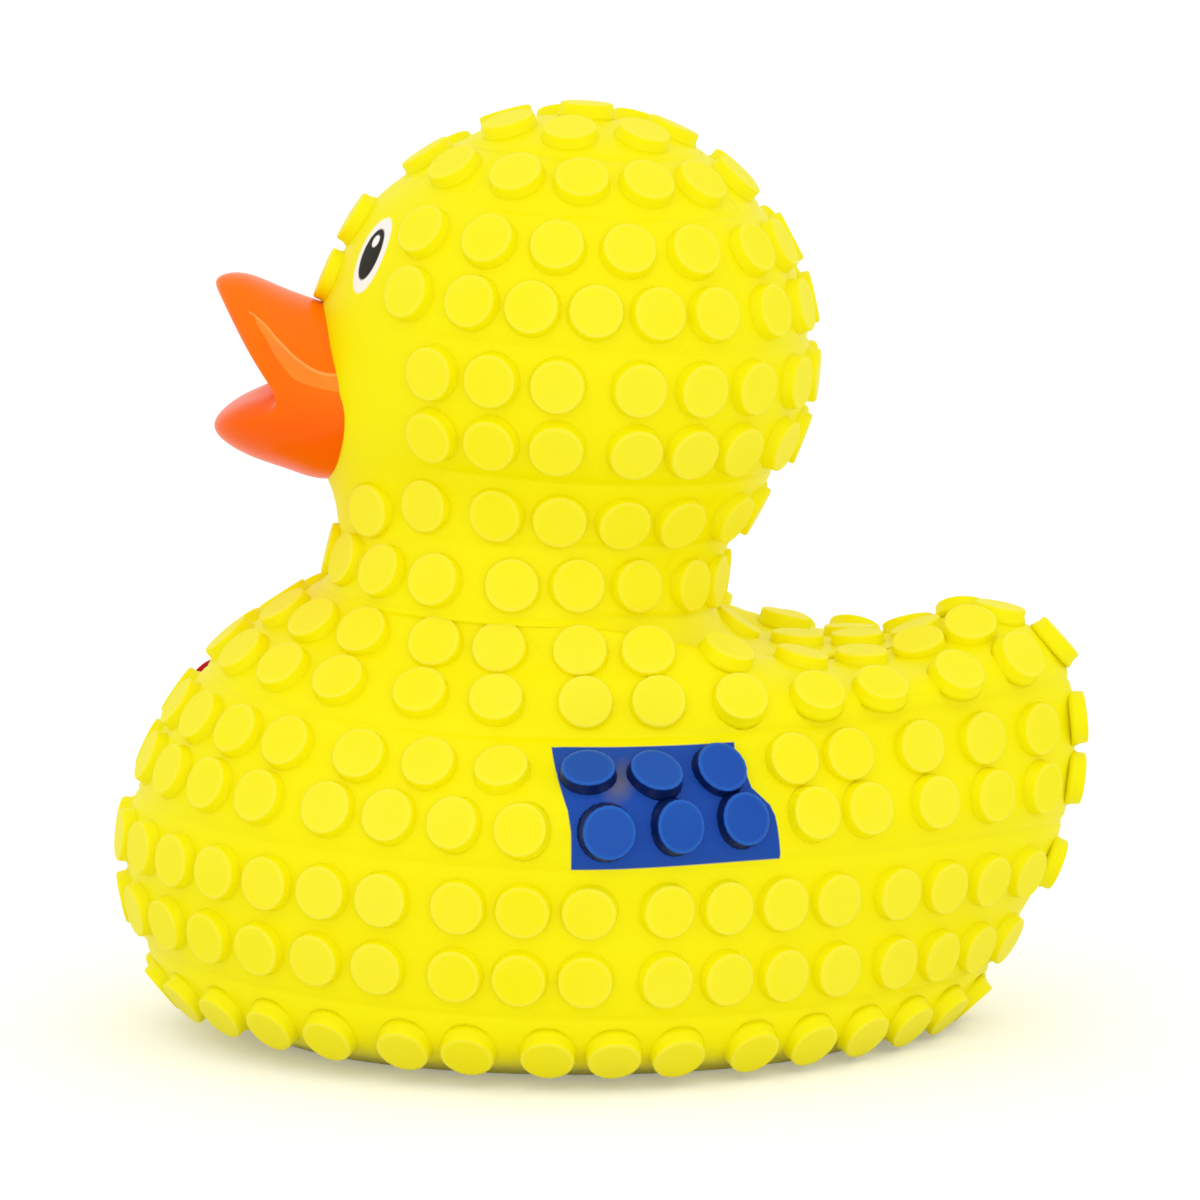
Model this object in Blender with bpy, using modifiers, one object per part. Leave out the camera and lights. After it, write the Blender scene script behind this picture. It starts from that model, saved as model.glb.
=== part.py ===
# A hollow vinyl bath duck whose whole skin is moulded as courses of studded bricks.
# Metres, +Z up. The duck faces -X, its tail is at +X, and it stands on z = 0.
# One moulding: skin with studs, beak, inner hollow and vent hole are one closed solid.

from math import cos, pi, radians, sin

import bmesh
import bpy
import numpy as np
from mathutils import Vector
from mathutils.geometry import delaunay_2d_cdt

# Studs and joints
STUD_DIAMETER = 0.0046
STUD_HEIGHT = 0.00095
STUD_SIDES = 6
LEAST_GAP = 0.0005
JOINT_GAP = 0.0012

# Head: a ball on a slightly leaning axis, with a soft brow, and a muzzle below the beak
HEAD_RADIUS = 0.0209
HEAD_X = -0.00245
HEAD_Z = 0.0605
HEAD_LEAN = radians(3.5)
BROW_BULGE = 0.0010
BROW_START_POLAR = radians(35)
BROW_FULL_POLAR = radians(60)
MUZZLE_BULGE = 0.0032
MUZZLE_START_POLAR = radians(70)
MUZZLE_FULL_POLAR = radians(125)
FACE_HALF_ANGLE = radians(50)

# Walls and base
WALL = 0.0022
VENT_DIAMETER = 0.0032
VENT_X = 0.002

# Soft swells of the skin: row, share, half rows, half share, and how far it is moved
WING = (13.75, 0.48, 1.5, 0.17, (0.0, -0.0028, 0.0))
WING_FOLD = (12.35, 0.48, 0.9, 0.14, (0.0, 0.0014, 0.0))
BACK_HOLLOW = (11.0, 0.76, 1.6, 0.22, (0.0, 0.0, -0.0014))
BACK_WAIST = (10.5, 0.76, 1.7, 0.24, (0.0, 0.0076, -0.0016))
SWELLS = [WING, WING_FOLD, BACK_HOLLOW, BACK_WAIST]

# Polar angle of each stud row on the head, crown first
HEAD_ROWS = [radians(angle) for angle in (0, 21, 40, 59, 74.2, 91.8, 107, 127.5)]

# One ring for each row below the head, then the rim of the flat base:
# front x and z, side x, y and z, rear x and z, front fullness, rear fullness, rear lift
NECK = ((-0.0232, 0.0428), (-0.0065, 0.0165, 0.0420), (0.0104, 0.0405), 2.0, 2.0, 2.0)
NECK_FOOT = ((-0.0247, 0.0400), (-0.0060, 0.0174, 0.0389), (0.0104, 0.0379), 2.0, 2.0, 2.0)
SADDLE = ((-0.0263, 0.0389), (-0.0005, 0.0180, 0.0374), (0.0252, 0.0343), 2.0, 1.9, 1.0)
SHOULDER = ((-0.0280, 0.0378), (0.0030, 0.0186, 0.0364), (0.0354, 0.0366), 2.1, 1.6, 6.0)
BACK = ((-0.0326, 0.0347), (0.0010, 0.0223, 0.0325), (0.0404, 0.0341), 2.05, 1.55, 2.0)
FLANK_TOP = ((-0.0371, 0.0295), (-0.0007, 0.0264, 0.0274), (0.0423, 0.0273), 1.97, 1.35, 2.0)
FLANK = ((-0.0397, 0.0248), (-0.0012, 0.0291, 0.0232), (0.0421, 0.0219), 1.92, 1.4, 2.0)
WAIST = ((-0.0420, 0.0179), (-0.0008, 0.0308, 0.0163), (0.0401, 0.0143), 1.86, 1.35, 1.0)
BELLY = ((-0.0416, 0.0119), (0.0000, 0.0308, 0.0103), (0.0366, 0.0080), 1.84, 1.4, 1.0)
KEEL = ((-0.0386, 0.0046), (-0.0009, 0.0289, 0.0035), (0.0331, 0.0026), 1.92, 1.6, 1.0)
BASE_RIM = ((-0.0300, 0.0), (-0.0010, 0.0215, 0.0), (0.0260, 0.0), 2.0, 2.0, 2.0)
BODY_ROWS = [NECK, NECK_FOOT, SADDLE, SHOULDER, BACK, FLANK_TOP, FLANK, WAIST, BELLY, KEEL, BASE_RIM]

# Row numbers: the crown stud is 0, head rows 1 to 7, neck 8, neck foot 9, saddle 10, body 11 to 17
BASE_ROW = 18

# Seams between courses, as row numbers
SEAMS = [1.5, 2.5, 4.5, 6.5, 7.41, 9.0, 12.5, 14.5, 16.5]

# Bricks of each row from the middle of the front to the middle of the rear. A pair is the share of
# the half ring where a brick ends, and its studs. The first and last bricks cross the middle of the
# duck and count all their studs, and 0 studs is a bare stretch.
BRICKS = {
    1: [(1.0, 7)],
    2: [(0.093, 1), (0.267, 1), (0.838, 4), (1.0, 2)],
    3: [(0.06, 0), (0.17, 0), (0.287, 1), (0.736, 4), (1.0, 5)],
    4: [(0.055, 0), (0.192, 0), (0.296, 1), (0.74, 5), (1.0, 5)],
    5: [(0.255, 0), (0.53, 3), (0.812, 3), (1.0, 4)],
    6: [(0.257, 0), (0.541, 3), (0.808, 3), (1.0, 4)],
    7: [(0.085, 0), (0.34, 2), (0.767, 4), (1.0, 4)],
    8: [(0.40, 7), (0.742, 3), (1.0, 5)],
    11: [(0.231, 6), (0.391, 2), (0.553, 2), (0.6415, 1), (1.0, 9)],
    12: [(0.251, 7), (0.41, 2), (0.56, 2), (0.636, 1), (0.785, 2), (1.0, 5)],
    13: [(0.240, 8), (0.440, 3), (0.626, 3), (0.748, 2), (1.0, 7)],
    14: [(0.2376, 8), (0.466, 4), (0.65, 3), (0.765, 2), (1.0, 7)],
    15: [(0.3686, 14), (0.534, 3), (0.752, 4), (1.0, 9)],
    16: [(0.370, 13), (0.540, 3), (0.7715, 4), (1.0, 8)],
    17: [(0.315, 10), (0.442, 2), (0.623, 3), (1.0, 12)],
}
# Studs that follow one another down the middle of the back, as row numbers
BACK_STUDS = [9.21, 9.57, 9.86, 10.3]
# Studs that follow one another down the middle of the brow, as row numbers
BROW_STUDS = [3.19, 4.1]
# How near one another two studs may stand, as a share of their diameter
CLOSEST = 0.8

# Beak loops from the root inside the head, over the lips, to the back of the mouth. Each has ten
# points down the left side: three over the upper bill, ridge, hollow under it, corner of the mouth,
# and four round the lower bill. The first and last are on the middle plane.
BEAK_ROOT = [(-0.0205, 0.0, 0.0640), (-0.0203, 0.0030, 0.0632), (-0.0200, 0.0056, 0.0615),
             (-0.0196, 0.0078, 0.0592), (-0.0194, 0.0084, 0.0578), (-0.0193, 0.0087, 0.0565),
             (-0.0194, 0.0082, 0.0545), (-0.0198, 0.0060, 0.0523), (-0.0202, 0.0032, 0.0507),
             (-0.0205, 0.0, 0.0498)]
BEAK_AT_SKIN = [(-0.0252, 0.0, 0.0652), (-0.0246, 0.0031, 0.0646), (-0.0240, 0.0060, 0.0631),
                (-0.0233, 0.0090, 0.0584), (-0.0229, 0.0089, 0.0576), (-0.0228, 0.0096, 0.0566),
                (-0.0229, 0.0092, 0.0542), (-0.0235, 0.0067, 0.0514), (-0.0241, 0.0035, 0.0494),
                (-0.0245, 0.0, 0.0485)]
BEAK_MIDDLE = [(-0.0282, 0.0, 0.0663), (-0.0280, 0.0026, 0.0659), (-0.0276, 0.0050, 0.0648),
               (-0.0270, 0.0086, 0.0609), (-0.0276, 0.0073, 0.0591), (-0.0269, 0.0087, 0.0574),
               (-0.0262, 0.0083, 0.0543), (-0.0267, 0.0065, 0.0521), (-0.0273, 0.0034, 0.0506),
               (-0.0276, 0.0, 0.0500)]
BEAK_NEAR_LIPS = [(-0.0315, 0.0, 0.0679), (-0.0313, 0.0026, 0.0676), (-0.0307, 0.0049, 0.0663),
                  (-0.0299, 0.0075, 0.0638), (-0.0294, 0.0061, 0.0622), (-0.0276, 0.0083, 0.0570),
                  (-0.0288, 0.0078, 0.0547), (-0.0302, 0.0060, 0.0529), (-0.0309, 0.0033, 0.0516),
                  (-0.0314, 0.0, 0.0511)]
BEAK_LIPS = [(-0.0344, 0.0, 0.0674), (-0.0339, 0.0025, 0.0666), (-0.0329, 0.0046, 0.0645),
             (-0.0315, 0.0062, 0.0616), (-0.0299, 0.0072, 0.0590), (-0.0280, 0.0080, 0.0563),
             (-0.0306, 0.0067, 0.0555), (-0.0330, 0.0049, 0.0547), (-0.0344, 0.0026, 0.0539),
             (-0.0350, 0.0, 0.0535)]
BEAK_INNER_LIPS = [(-0.0335, 0.0, 0.0656), (-0.0330, 0.0020, 0.0648), (-0.0319, 0.0038, 0.0629),
                   (-0.0305, 0.0052, 0.0607), (-0.0292, 0.0060, 0.0588), (-0.0277, 0.0064, 0.0570),
                   (-0.0297, 0.0055, 0.0569), (-0.0317, 0.0039, 0.0564), (-0.0327, 0.0020, 0.0560),
                   (-0.0331, 0.0, 0.0558)]
BEAK_MOUTH = [(-0.0284, 0.0, 0.0606), (-0.0282, 0.0016, 0.0603), (-0.0279, 0.0030, 0.0597),
              (-0.0276, 0.0039, 0.0591), (-0.0273, 0.0044, 0.0586), (-0.0270, 0.0047, 0.0581),
              (-0.0274, 0.0041, 0.0578), (-0.0278, 0.0030, 0.0577), (-0.0280, 0.0016, 0.0577),
              (-0.0282, 0.0, 0.0578)]
BEAK_LOOPS = [BEAK_ROOT, BEAK_AT_SKIN, BEAK_MIDDLE, BEAK_NEAR_LIPS, BEAK_LIPS, BEAK_INNER_LIPS,
              BEAK_MOUTH]
BEAK_RIDGE_POINT = 3
BEAK_RIDGE_LOOPS = (1, 2, 3)
BEAK_RIDGE_CREASE = 1.0

# Mesh fineness
ARC_STEPS = 180
RING_COLUMNS = 120
SEAM_SPACING = 0.0062
CAVITY_COLUMNS = 10
CAVITY_ROWS = [1.2, 2.5, 4.0, 5.5, 7.0, 8.2, 9.4, 11.4, 12.6, 13.8, 15.0, 16.3]
SEAM_ROOM = 0.03
PLANE_ROOM = 0.002
WELD = 1e-6


def clear_scene():
    for item in list(bpy.data.objects):
        bpy.data.objects.remove(item, do_unlink=True)


def new_collection(name):
    group = bpy.data.collections.new(name)
    bpy.context.scene.collection.children.link(group)
    return group


def mesh_object(name, mesh, group):
    item = bpy.data.objects.new(name, mesh)
    group.objects.link(item)
    return item


def vinyl(name, colour):
    material = bpy.data.materials.new(name)
    material.use_nodes = True
    shader = material.node_tree.nodes["Principled BSDF"]
    shader.inputs["Base Color"].default_value = (*colour, 1.0)
    shader.inputs["Roughness"].default_value = 0.45
    shader.inputs["Metallic"].default_value = 0.0
    return material


# Rings: every ring is the half on the duck's left side (y <= 0), front to rear

def even_steps(points):
    """The same half ring with its points at even steps along it, and its length."""
    steps = np.linalg.norm(np.diff(points, axis=0), axis=1)
    along = np.concatenate([[0.0], np.cumsum(steps)])
    wanted = np.linspace(0.0, along[-1], RING_COLUMNS + 1)
    return np.stack([np.interp(wanted, along, points[:, axis]) for axis in range(3)], -1), along[-1]


def smooth_step(value):
    value = np.clip(value, 0.0, 1.0)
    return value * value * (3.0 - 2.0 * value)


def head_ring(polar):
    polar = max(polar, 1e-4)
    axis = np.array([sin(HEAD_LEAN), 0.0, cos(HEAD_LEAN)])
    forward = np.array([-cos(HEAD_LEAN), 0.0, sin(HEAD_LEAN)])
    turn = np.linspace(0.0, pi, ARC_STEPS + 1)[:, None]
    flat = np.cos(turn) * forward + np.sin(turn) * np.array([0.0, -1.0, 0.0])
    brow = smooth_step((polar - BROW_START_POLAR) / (BROW_FULL_POLAR - BROW_START_POLAR))
    muzzle = smooth_step((polar - MUZZLE_START_POLAR) / (MUZZLE_FULL_POLAR - MUZZLE_START_POLAR))
    fade = np.cos(np.clip(turn / FACE_HALF_ANGLE, 0.0, 1.0) * pi / 2) ** 2
    radius = HEAD_RADIUS + (BROW_BULGE * brow + MUZZLE_BULGE * muzzle) * fade
    return np.array([HEAD_X, 0.0, HEAD_Z]) + radius * (sin(polar) * flat + cos(polar) * axis)


def body_ring(row):
    front, side, rear, front_power, rear_power, lift_power = row
    turn = np.linspace(0.0, pi, ARC_STEPS + 1)
    is_front = turn < pi / 2
    power = np.where(is_front, front_power, rear_power)
    reach = np.abs(np.cos(turn)) ** (2.0 / power)
    spread = np.abs(np.sin(turn)) ** (2.0 / power)
    end_x = np.where(is_front, front[0], rear[0])
    end_z = np.where(is_front, front[1], rear[1])
    lift = reach ** np.where(is_front, 2.0, lift_power)
    x = side[0] + (end_x - side[0]) * reach
    z = side[2] + (end_z - side[2]) * lift
    return np.stack([x, -side[1] * spread, z], -1)


def swelling(row, share):
    """How far the soft swells move the skin at a row and share."""
    total = np.zeros(3)
    for middle_row, middle_share, half_rows, half_share, move in SWELLS:
        down = np.clip((row - middle_row) / half_rows, -1.0, 1.0)
        across = np.clip((share - middle_share) / half_share, -1.0, 1.0)
        total += np.array(move) * (cos(down * pi / 2) * cos(across * pi / 2)) ** 2
    return total


def make_rings():
    outlines = [head_ring(polar) for polar in HEAD_ROWS] + [body_ring(row) for row in BODY_ROWS]
    pairs = [even_steps(outline) for outline in outlines]
    return np.array([ring for ring, _ in pairs]), np.array([length for _, length in pairs])


RINGS, LENGTHS = make_rings()


def ring_at(index, share):
    index = min(max(index, 0), len(RINGS) - 1)
    place = np.clip(share, 0.0, 1.0) * RING_COLUMNS
    left = min(int(place), RING_COLUMNS - 1)
    part = place - left
    return RINGS[index][left] * (1.0 - part) + RINGS[index][left + 1] * part


def skin(row, share):
    """Point of the bare skin: a smooth curve down the duck through its rings."""
    index = min(max(int(row), 0), BASE_ROW - 1)
    part = row - index
    start, end = ring_at(index, share), ring_at(index + 1, share)
    before = ring_at(index - 1, share) if index > 0 else 2.0 * start - end
    after = ring_at(index + 2, share) if index + 2 <= BASE_ROW else 2.0 * end - start
    spans = [max(np.linalg.norm(b - a), 1e-9) for a, b in ((before, start), (start, end), (end, after))]
    lead = spans[1] * ((start - before) / spans[0] * spans[1] + (end - start) / spans[1] * spans[0])
    lead = lead / (spans[0] + spans[1])
    trail = spans[1] * ((end - start) / spans[1] * spans[2] + (after - end) / spans[2] * spans[1])
    trail = trail / (spans[1] + spans[2])
    square, cube = part * part, part ** 3
    point = (2 * cube - 3 * square + 1) * start + (cube - 2 * square + part) * lead
    point = point + (3 * square - 2 * cube) * end + (cube - square) * trail
    return point + swelling(row, share)


def slopes(row, share):
    """Change of the skin point with the row and with the share."""
    row_step, share_step = 0.05, 0.004
    high = max(row - row_step, 0.0)
    low = min(row + row_step, float(BASE_ROW))
    front = max(share - share_step, 0.0)
    rear = min(share + share_step, 1.0)
    by_row = (skin(low, share) - skin(high, share)) / (low - high)
    by_share = (skin(row, rear) - skin(row, front)) / (rear - front)
    return by_row, by_share


def outward(row, share):
    by_row, by_share = slopes(row, share)
    direction = np.cross(by_row, by_share)
    if share <= 0.0 or share >= 1.0:
        direction[1] = 0.0
    return direction / np.linalg.norm(direction)


def length_at(row):
    index = min(int(row), BASE_ROW - 1)
    return LENGTHS[index] + (LENGTHS[index + 1] - LENGTHS[index]) * (row - index)


# Where the studs stand

def studs_that_fit(wanted, room):
    """The wanted number of studs, or as many as the room takes."""
    return max(0, min(wanted, int((room - JOINT_GAP) / (STUD_DIAMETER + LEAST_GAP))))


def brick_sites(start, end, wanted):
    """Even places for a brick's studs between two joints."""
    count = studs_that_fit(wanted, end - start)
    pitch = (end - start - JOINT_GAP) / max(count, 1)
    return [start + JOINT_GAP / 2 + pitch * (number + 0.5) for number in range(count)]


def row_sites(row):
    """Shares of the half ring where a row has studs."""
    length = length_at(row)
    sites = []
    start = 0.0
    bricks = BRICKS[row]
    if len(bricks) == 1:
        pitch = 2 * length / studs_that_fit(bricks[0][1], 2 * length)
        return [1.0 - number * pitch / length for number in range(int(length / pitch) + 1)]
    for number, (share, wanted) in enumerate(bricks):
        end = share * length
        if number == 0:
            places = brick_sites(-end, end, wanted)
        elif number == len(bricks) - 1:
            places = brick_sites(start, 2 * length - start, wanted)
        else:
            places = brick_sites(start, end, wanted)
        sites.extend(place for place in places if -WELD < place < length + WELD)
        start = end
    return [min(max(place / length, 0.0), 1.0) for place in sites]


def all_sites():
    """Every stud of the left half that has room beside those before it."""
    sites = [(float(row), share) for row in BRICKS for share in row_sites(row)]
    sites += [(row, 1.0) for row in BACK_STUDS] + [(row, 0.0) for row in BROW_STUDS]
    least = CLOSEST * STUD_DIAMETER
    kept, centres = [], []
    for row, share in sites:
        centre = skin(row, share)
        crosses = 0.0 < share < 1.0 and -centre[1] < STUD_DIAMETER / 2
        if not crosses and all(np.linalg.norm(centre - other) > least for other in centres):
            kept.append((row, share))
            centres.append(centre)
    return kept


def foot_corner(row, share, offset):
    """The (row, share) of the skin beside a stud's centre by a short offset."""
    target = skin(row, share) + offset
    place = np.array([row, share])
    for _ in range(4):
        by_row, by_share = slopes(*place)
        miss = target - skin(*place)
        place = place + np.linalg.lstsq(np.stack([by_row, by_share], -1), miss, rcond=None)[0]
    return place


def stud_outline(row, share):
    """Corners of a stud's foot as (row, share), cut at the middle plane where it crosses it."""
    by_row, by_share = slopes(row, share)
    along = by_share / np.linalg.norm(by_share)
    up = np.cross(outward(row, share), along)
    radius = STUD_DIAMETER / 2
    corners = []
    for side in range(STUD_SIDES):
        turn = 2 * pi * side / STUD_SIDES
        offset = radius * (cos(turn) * along + sin(turn) * up)
        if share <= 0.0 and cos(turn) < 0.0 or share >= 1.0 and cos(turn) > 0.0:
            continue
        corners.append(foot_corner(row, share, offset))
    if 0.0 < share < 1.0:
        return corners
    rise = radius * sin(pi / 3)
    lower, upper = foot_corner(row, share, -rise * up)[0], foot_corner(row, share, rise * up)[0]
    if share <= 0.0:
        return [(lower, 0.0), corners[2], corners[0], corners[1], (upper, 0.0)]
    return [(upper, 1.0), corners[0], corners[1], corners[2], (lower, 1.0)]


# The skin is triangulated course by course in its unrolled plane, round the feet of the studs

def inside_course(outline, top, bottom):
    """A stud's corners, with any that pass a seam of the course drawn back to it."""
    high, low = top + SEAM_ROOM, bottom - SEAM_ROOM
    kept = []
    for row, share in outline:
        if 1e-9 < share < 1.0 - 1e-9:
            share = min(max(share, PLANE_ROOM), 1.0 - PLANE_ROOM)
        kept.append((min(max(row, high), low), share))
    return kept


def seam_shares(row):
    count = max(3, round(length_at(row) / SEAM_SPACING))
    return [number / count for number in range(count + 1)]


def crown_rim_row():
    return STUD_DIAMETER / 2 / (HEAD_RADIUS * HEAD_ROWS[1])


def course_plane(top, bottom):
    """Functions from (row, share) to the flat plane of a course and back."""
    width = length_at((top + bottom) / 2)
    height = np.linalg.norm(skin(top, 0.5) - skin(bottom, 0.5)) / (bottom - top)

    def to_plane(row, share):
        return Vector((share * width, -row * height))

    def from_plane(point):
        return -point[1] / height, point[0] / width

    return to_plane, from_plane


def middle_rows(top, bottom, outlines, end):
    """Rows where a course has corners on the middle plane: its studs' edges, and rows with none."""
    spans = [sorted(row for row, share in outline if share == end) for outline in outlines]
    spans = [span for span in spans if span]
    free = [row for row in range(1, BASE_ROW) if top + 0.2 < row < bottom - 0.2
            and all(not span[0] - 0.1 < row < span[-1] + 0.1 for span in spans)]
    return sorted([row for span in spans for row in span] + free)


def loose_points(top, bottom, sites):
    """Points between the studs of a course, so that triangles follow the skin where it is bare."""
    near = [(skin(*site), 0.8 * STUD_DIAMETER) for site in sites]
    near += [(skin(row, share), 0.5 * SEAM_SPACING) for row in (top, bottom) for share in seam_shares(row)]
    found = []
    for row in np.arange(top + 0.25, bottom, 0.25):
        for share in seam_shares(row):
            point = skin(row, share)
            clear = all(np.linalg.norm(point - other) > room for other, room in near)
            if clear and -point[1] > 0.4 * SEAM_SPACING:
                found.append((row, share))
                near.append((point, 0.8 * SEAM_SPACING))
    return found


def course_triangles(top, bottom, outlines, loose):
    """Triangles of one course as lists of (row, share) corners, each with its stud number or None."""
    to_plane, from_plane = course_plane(top, bottom)
    top_shares = [0.0, 1 / 3, 2 / 3, 1.0] if top < 1.0 else seam_shares(top)
    border = [(bottom, share) for share in seam_shares(bottom)]
    border += [(row, 1.0) for row in reversed(middle_rows(top, bottom, outlines, 1.0))]
    border += [(top, share) for share in reversed(top_shares)]
    border += [(row, 0.0) for row in middle_rows(top, bottom, outlines, 0.0)]
    points = [to_plane(*corner) for corner in border]
    faces = [list(range(len(border)))]
    for outline in outlines:
        faces.append(list(range(len(points), len(points) + len(outline))))
        points += [to_plane(*corner) for corner in outline]
    points += [to_plane(*corner) for corner in loose]
    result = delaunay_2d_cdt(points, [], faces, 1, 1e-7)
    corners = [from_plane(point) for point in result[0]]
    triangles = []
    for face, sources in zip(result[2], result[5]):
        studs = [source - 1 for source in sources if source > 0]
        triangles.append(([corners[index] for index in face], studs[0] if studs else None))
    return triangles


def add_face(mesh, corners):
    """A face from (row, share) corners, put on the middle plane where the share ends."""
    places = [skin(row, min(max(share, 0.0), 1.0)) for row, share in corners]
    for place, (_, share) in zip(places, corners):
        if share <= 1e-9 or share >= 1.0 - 1e-9:
            place[1] = 0.0
    return mesh.faces.new([mesh.verts.new(place) for place in places])


def raise_stud(mesh, faces, centre, normal):
    """Extrude a stud's faces to a flat top."""
    grown = bmesh.ops.extrude_face_region(mesh, geom=faces)
    bmesh.ops.delete(mesh, geom=faces, context='FACES_ONLY')
    for item in grown["geom"]:
        if isinstance(item, bmesh.types.BMVert):
            lift = STUD_HEIGHT - (item.co - centre).dot(normal)
            item.co += normal * lift


def add_course(mesh, top, bottom, sites):
    outlines = [inside_course(stud_outline(row, share), top, bottom) for row, share in sites]
    regions = {}
    course = bmesh.new()
    loose = loose_points(top, bottom, sites)
    for corners, stud in course_triangles(top, bottom, outlines, loose):
        face = add_face(course, corners)
        if stud is not None:
            regions.setdefault(stud, []).append(face)
    bmesh.ops.remove_doubles(course, verts=course.verts, dist=WELD)
    for stud, faces in regions.items():
        row, share = sites[stud]
        faces = [face for face in faces if face.is_valid]
        raise_stud(course, faces, Vector(skin(row, share)), Vector(outward(row, share)))
    join(mesh, course)


def add_crown_stud(mesh):
    rim = crown_rim_row()
    course = bmesh.new()
    face = add_face(course, [(rim, share) for share in (0.0, 1 / 3, 2 / 3, 1.0)])
    centre = Vector(skin(0.0, 0.5))
    normal = Vector((sin(HEAD_LEAN), 0.0, cos(HEAD_LEAN)))
    raise_stud(course, [face], centre, normal)
    join(mesh, course)


def join(mesh, extra):
    copy = bpy.data.meshes.new("course")
    extra.to_mesh(copy)
    extra.free()
    mesh.from_mesh(copy)
    bpy.data.meshes.remove(copy)


def half_skin():
    """The left half of the duck's outside, open at the middle plane."""
    mesh = bmesh.new()
    add_crown_stud(mesh)
    limits = [crown_rim_row()] + SEAMS + [float(BASE_ROW)]
    sites = all_sites()
    for top, bottom in zip(limits, limits[1:]):
        add_course(mesh, top, bottom, [site for site in sites if top < site[0] < bottom])
    add_face(mesh, [(float(BASE_ROW), share) for share in reversed(seam_shares(BASE_ROW))])
    bmesh.ops.remove_doubles(mesh, verts=mesh.verts, dist=WELD)
    on_plane = [face for face in mesh.faces if all(abs(vert.co.y) < WELD for vert in face.verts)]
    bmesh.ops.delete(mesh, geom=on_plane, context='FACES_ONLY')
    loose = [edge for edge in mesh.edges if not edge.link_faces]
    bmesh.ops.delete(mesh, geom=loose, context='EDGES')
    shell = bpy.data.meshes.new("duck_shell")
    mesh.to_mesh(shell)
    mesh.free()
    return shell


# Beak, hollow and vent

def mirrored_loop(half):
    """A full ring from its points down the left side."""
    left = [Vector((x, -y, z)) for x, y, z in half]
    right = [Vector((x, y, z)) for x, y, z in reversed(half[1:-1])]
    return left + right


def crease_ridges(mesh, rings):
    """Keep the ridge on each side of the upper bill firm when the cage is rounded."""
    layer = mesh.edges.layers.float.new("crease_edge")
    for side in (BEAK_RIDGE_POINT, -BEAK_RIDGE_POINT):
        for first, second in zip(BEAK_RIDGE_LOOPS, BEAK_RIDGE_LOOPS[1:]):
            edge = mesh.edges.get((rings[first][side], rings[second][side]))
            edge[layer] = BEAK_RIDGE_CREASE


def beak_cage():
    """The beak's cage: loops joined by faces, with strips that close the root and the mouth."""
    mesh = bmesh.new()
    rings = [[mesh.verts.new(point) for point in mirrored_loop(loop)] for loop in BEAK_LOOPS]
    count = len(rings[0])
    for outer, inner in zip(rings, rings[1:]):
        for index in range(count):
            following = (index + 1) % count
            mesh.faces.new([outer[index], outer[following], inner[following], inner[index]])
    for ring in (rings[0], rings[-1]):
        for index in range(-4, 4):
            upper, lower = (index, index + 1), (9 - index, 8 - index)
            mesh.faces.new([ring[place % count] for place in (*upper, lower[1], lower[0])])
    bmesh.ops.recalc_face_normals(mesh, faces=mesh.faces)
    crease_ridges(mesh, rings)
    cage = bpy.data.meshes.new("beak_form")
    mesh.to_mesh(cage)
    mesh.free()
    return cage


def loft(loops, name):
    """A closed mesh through loops of equal count, with a flat cap at each end."""
    mesh = bmesh.new()
    rings = [[mesh.verts.new(point) for point in loop] for loop in loops]
    for upper, lower in zip(rings, rings[1:]):
        for index in range(len(upper)):
            following = (index + 1) % len(upper)
            mesh.faces.new([upper[index], upper[following], lower[following], lower[index]])
    mesh.faces.new(list(reversed(rings[0])))
    mesh.faces.new(rings[-1])
    bmesh.ops.recalc_face_normals(mesh, faces=mesh.faces)
    made = bpy.data.meshes.new(name)
    mesh.to_mesh(made)
    mesh.free()
    return made


def cavity_loop(row):
    """The skin ring moved in by the wall, all the way round."""
    half = []
    for column in range(CAVITY_COLUMNS + 1):
        share = column / CAVITY_COLUMNS
        half.append(skin(row, share) - (WALL + STUD_HEIGHT / 2) * outward(row, share))
    half[0][1] = half[-1][1] = 0.0
    other = [point * np.array([1.0, -1.0, 1.0]) for point in reversed(half[1:-1])]
    return [Vector((point[0], point[1], max(point[2], WALL))) for point in half + other]


def cavity_loops():
    loops = [cavity_loop(row) for row in CAVITY_ROWS]
    floor = [Vector((point.x, point.y, WALL)) for point in loops[-1]]
    centre = sum(floor, Vector()) / len(floor)
    return loops + [[centre + (point - centre) * 0.86 for point in floor]]


def cutter(name, mesh, group):
    item = mesh_object(name, mesh, group)
    item.hide_render = True
    item.display_type = 'WIRE'
    return item


def add_boolean(item, tool, operation):
    modifier = item.modifiers.new(tool.name, 'BOOLEAN')
    modifier.operation = operation
    modifier.solver = 'EXACT'
    modifier.object = tool


def build():
    clear_scene()
    parts = new_collection("studded_duck")
    tools = new_collection("cutters")
    shell = mesh_object("duck_shell", half_skin(), parts)
    mirror = shell.modifiers.new("both sides", 'MIRROR')
    mirror.use_axis = (False, True, False)
    mirror.merge_threshold = WELD
    beak = cutter("beak_form", beak_cage(), tools)
    rounding = beak.modifiers.new("rounding", 'SUBSURF')
    rounding.levels = 1
    rounding.render_levels = 1
    cavity = cutter("hollow", loft(cavity_loops(), "hollow"), tools)
    bpy.ops.mesh.primitive_cylinder_add(vertices=16, radius=VENT_DIAMETER / 2, depth=4 * WALL,
                                        location=(VENT_X, 0.0, 0.5 * WALL))
    vent = bpy.context.object
    vent.name = "vent"
    vent.hide_render = True
    vent.display_type = 'WIRE'
    for group in list(vent.users_collection):
        group.objects.unlink(vent)
    tools.objects.link(vent)
    add_boolean(shell, beak, 'UNION')
    add_boolean(shell, vent, 'DIFFERENCE')
    add_boolean(shell, cavity, 'DIFFERENCE')
    shell.data.materials.append(vinyl("duck_vinyl", (0.95, 0.87, 0.0)))


build()
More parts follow.
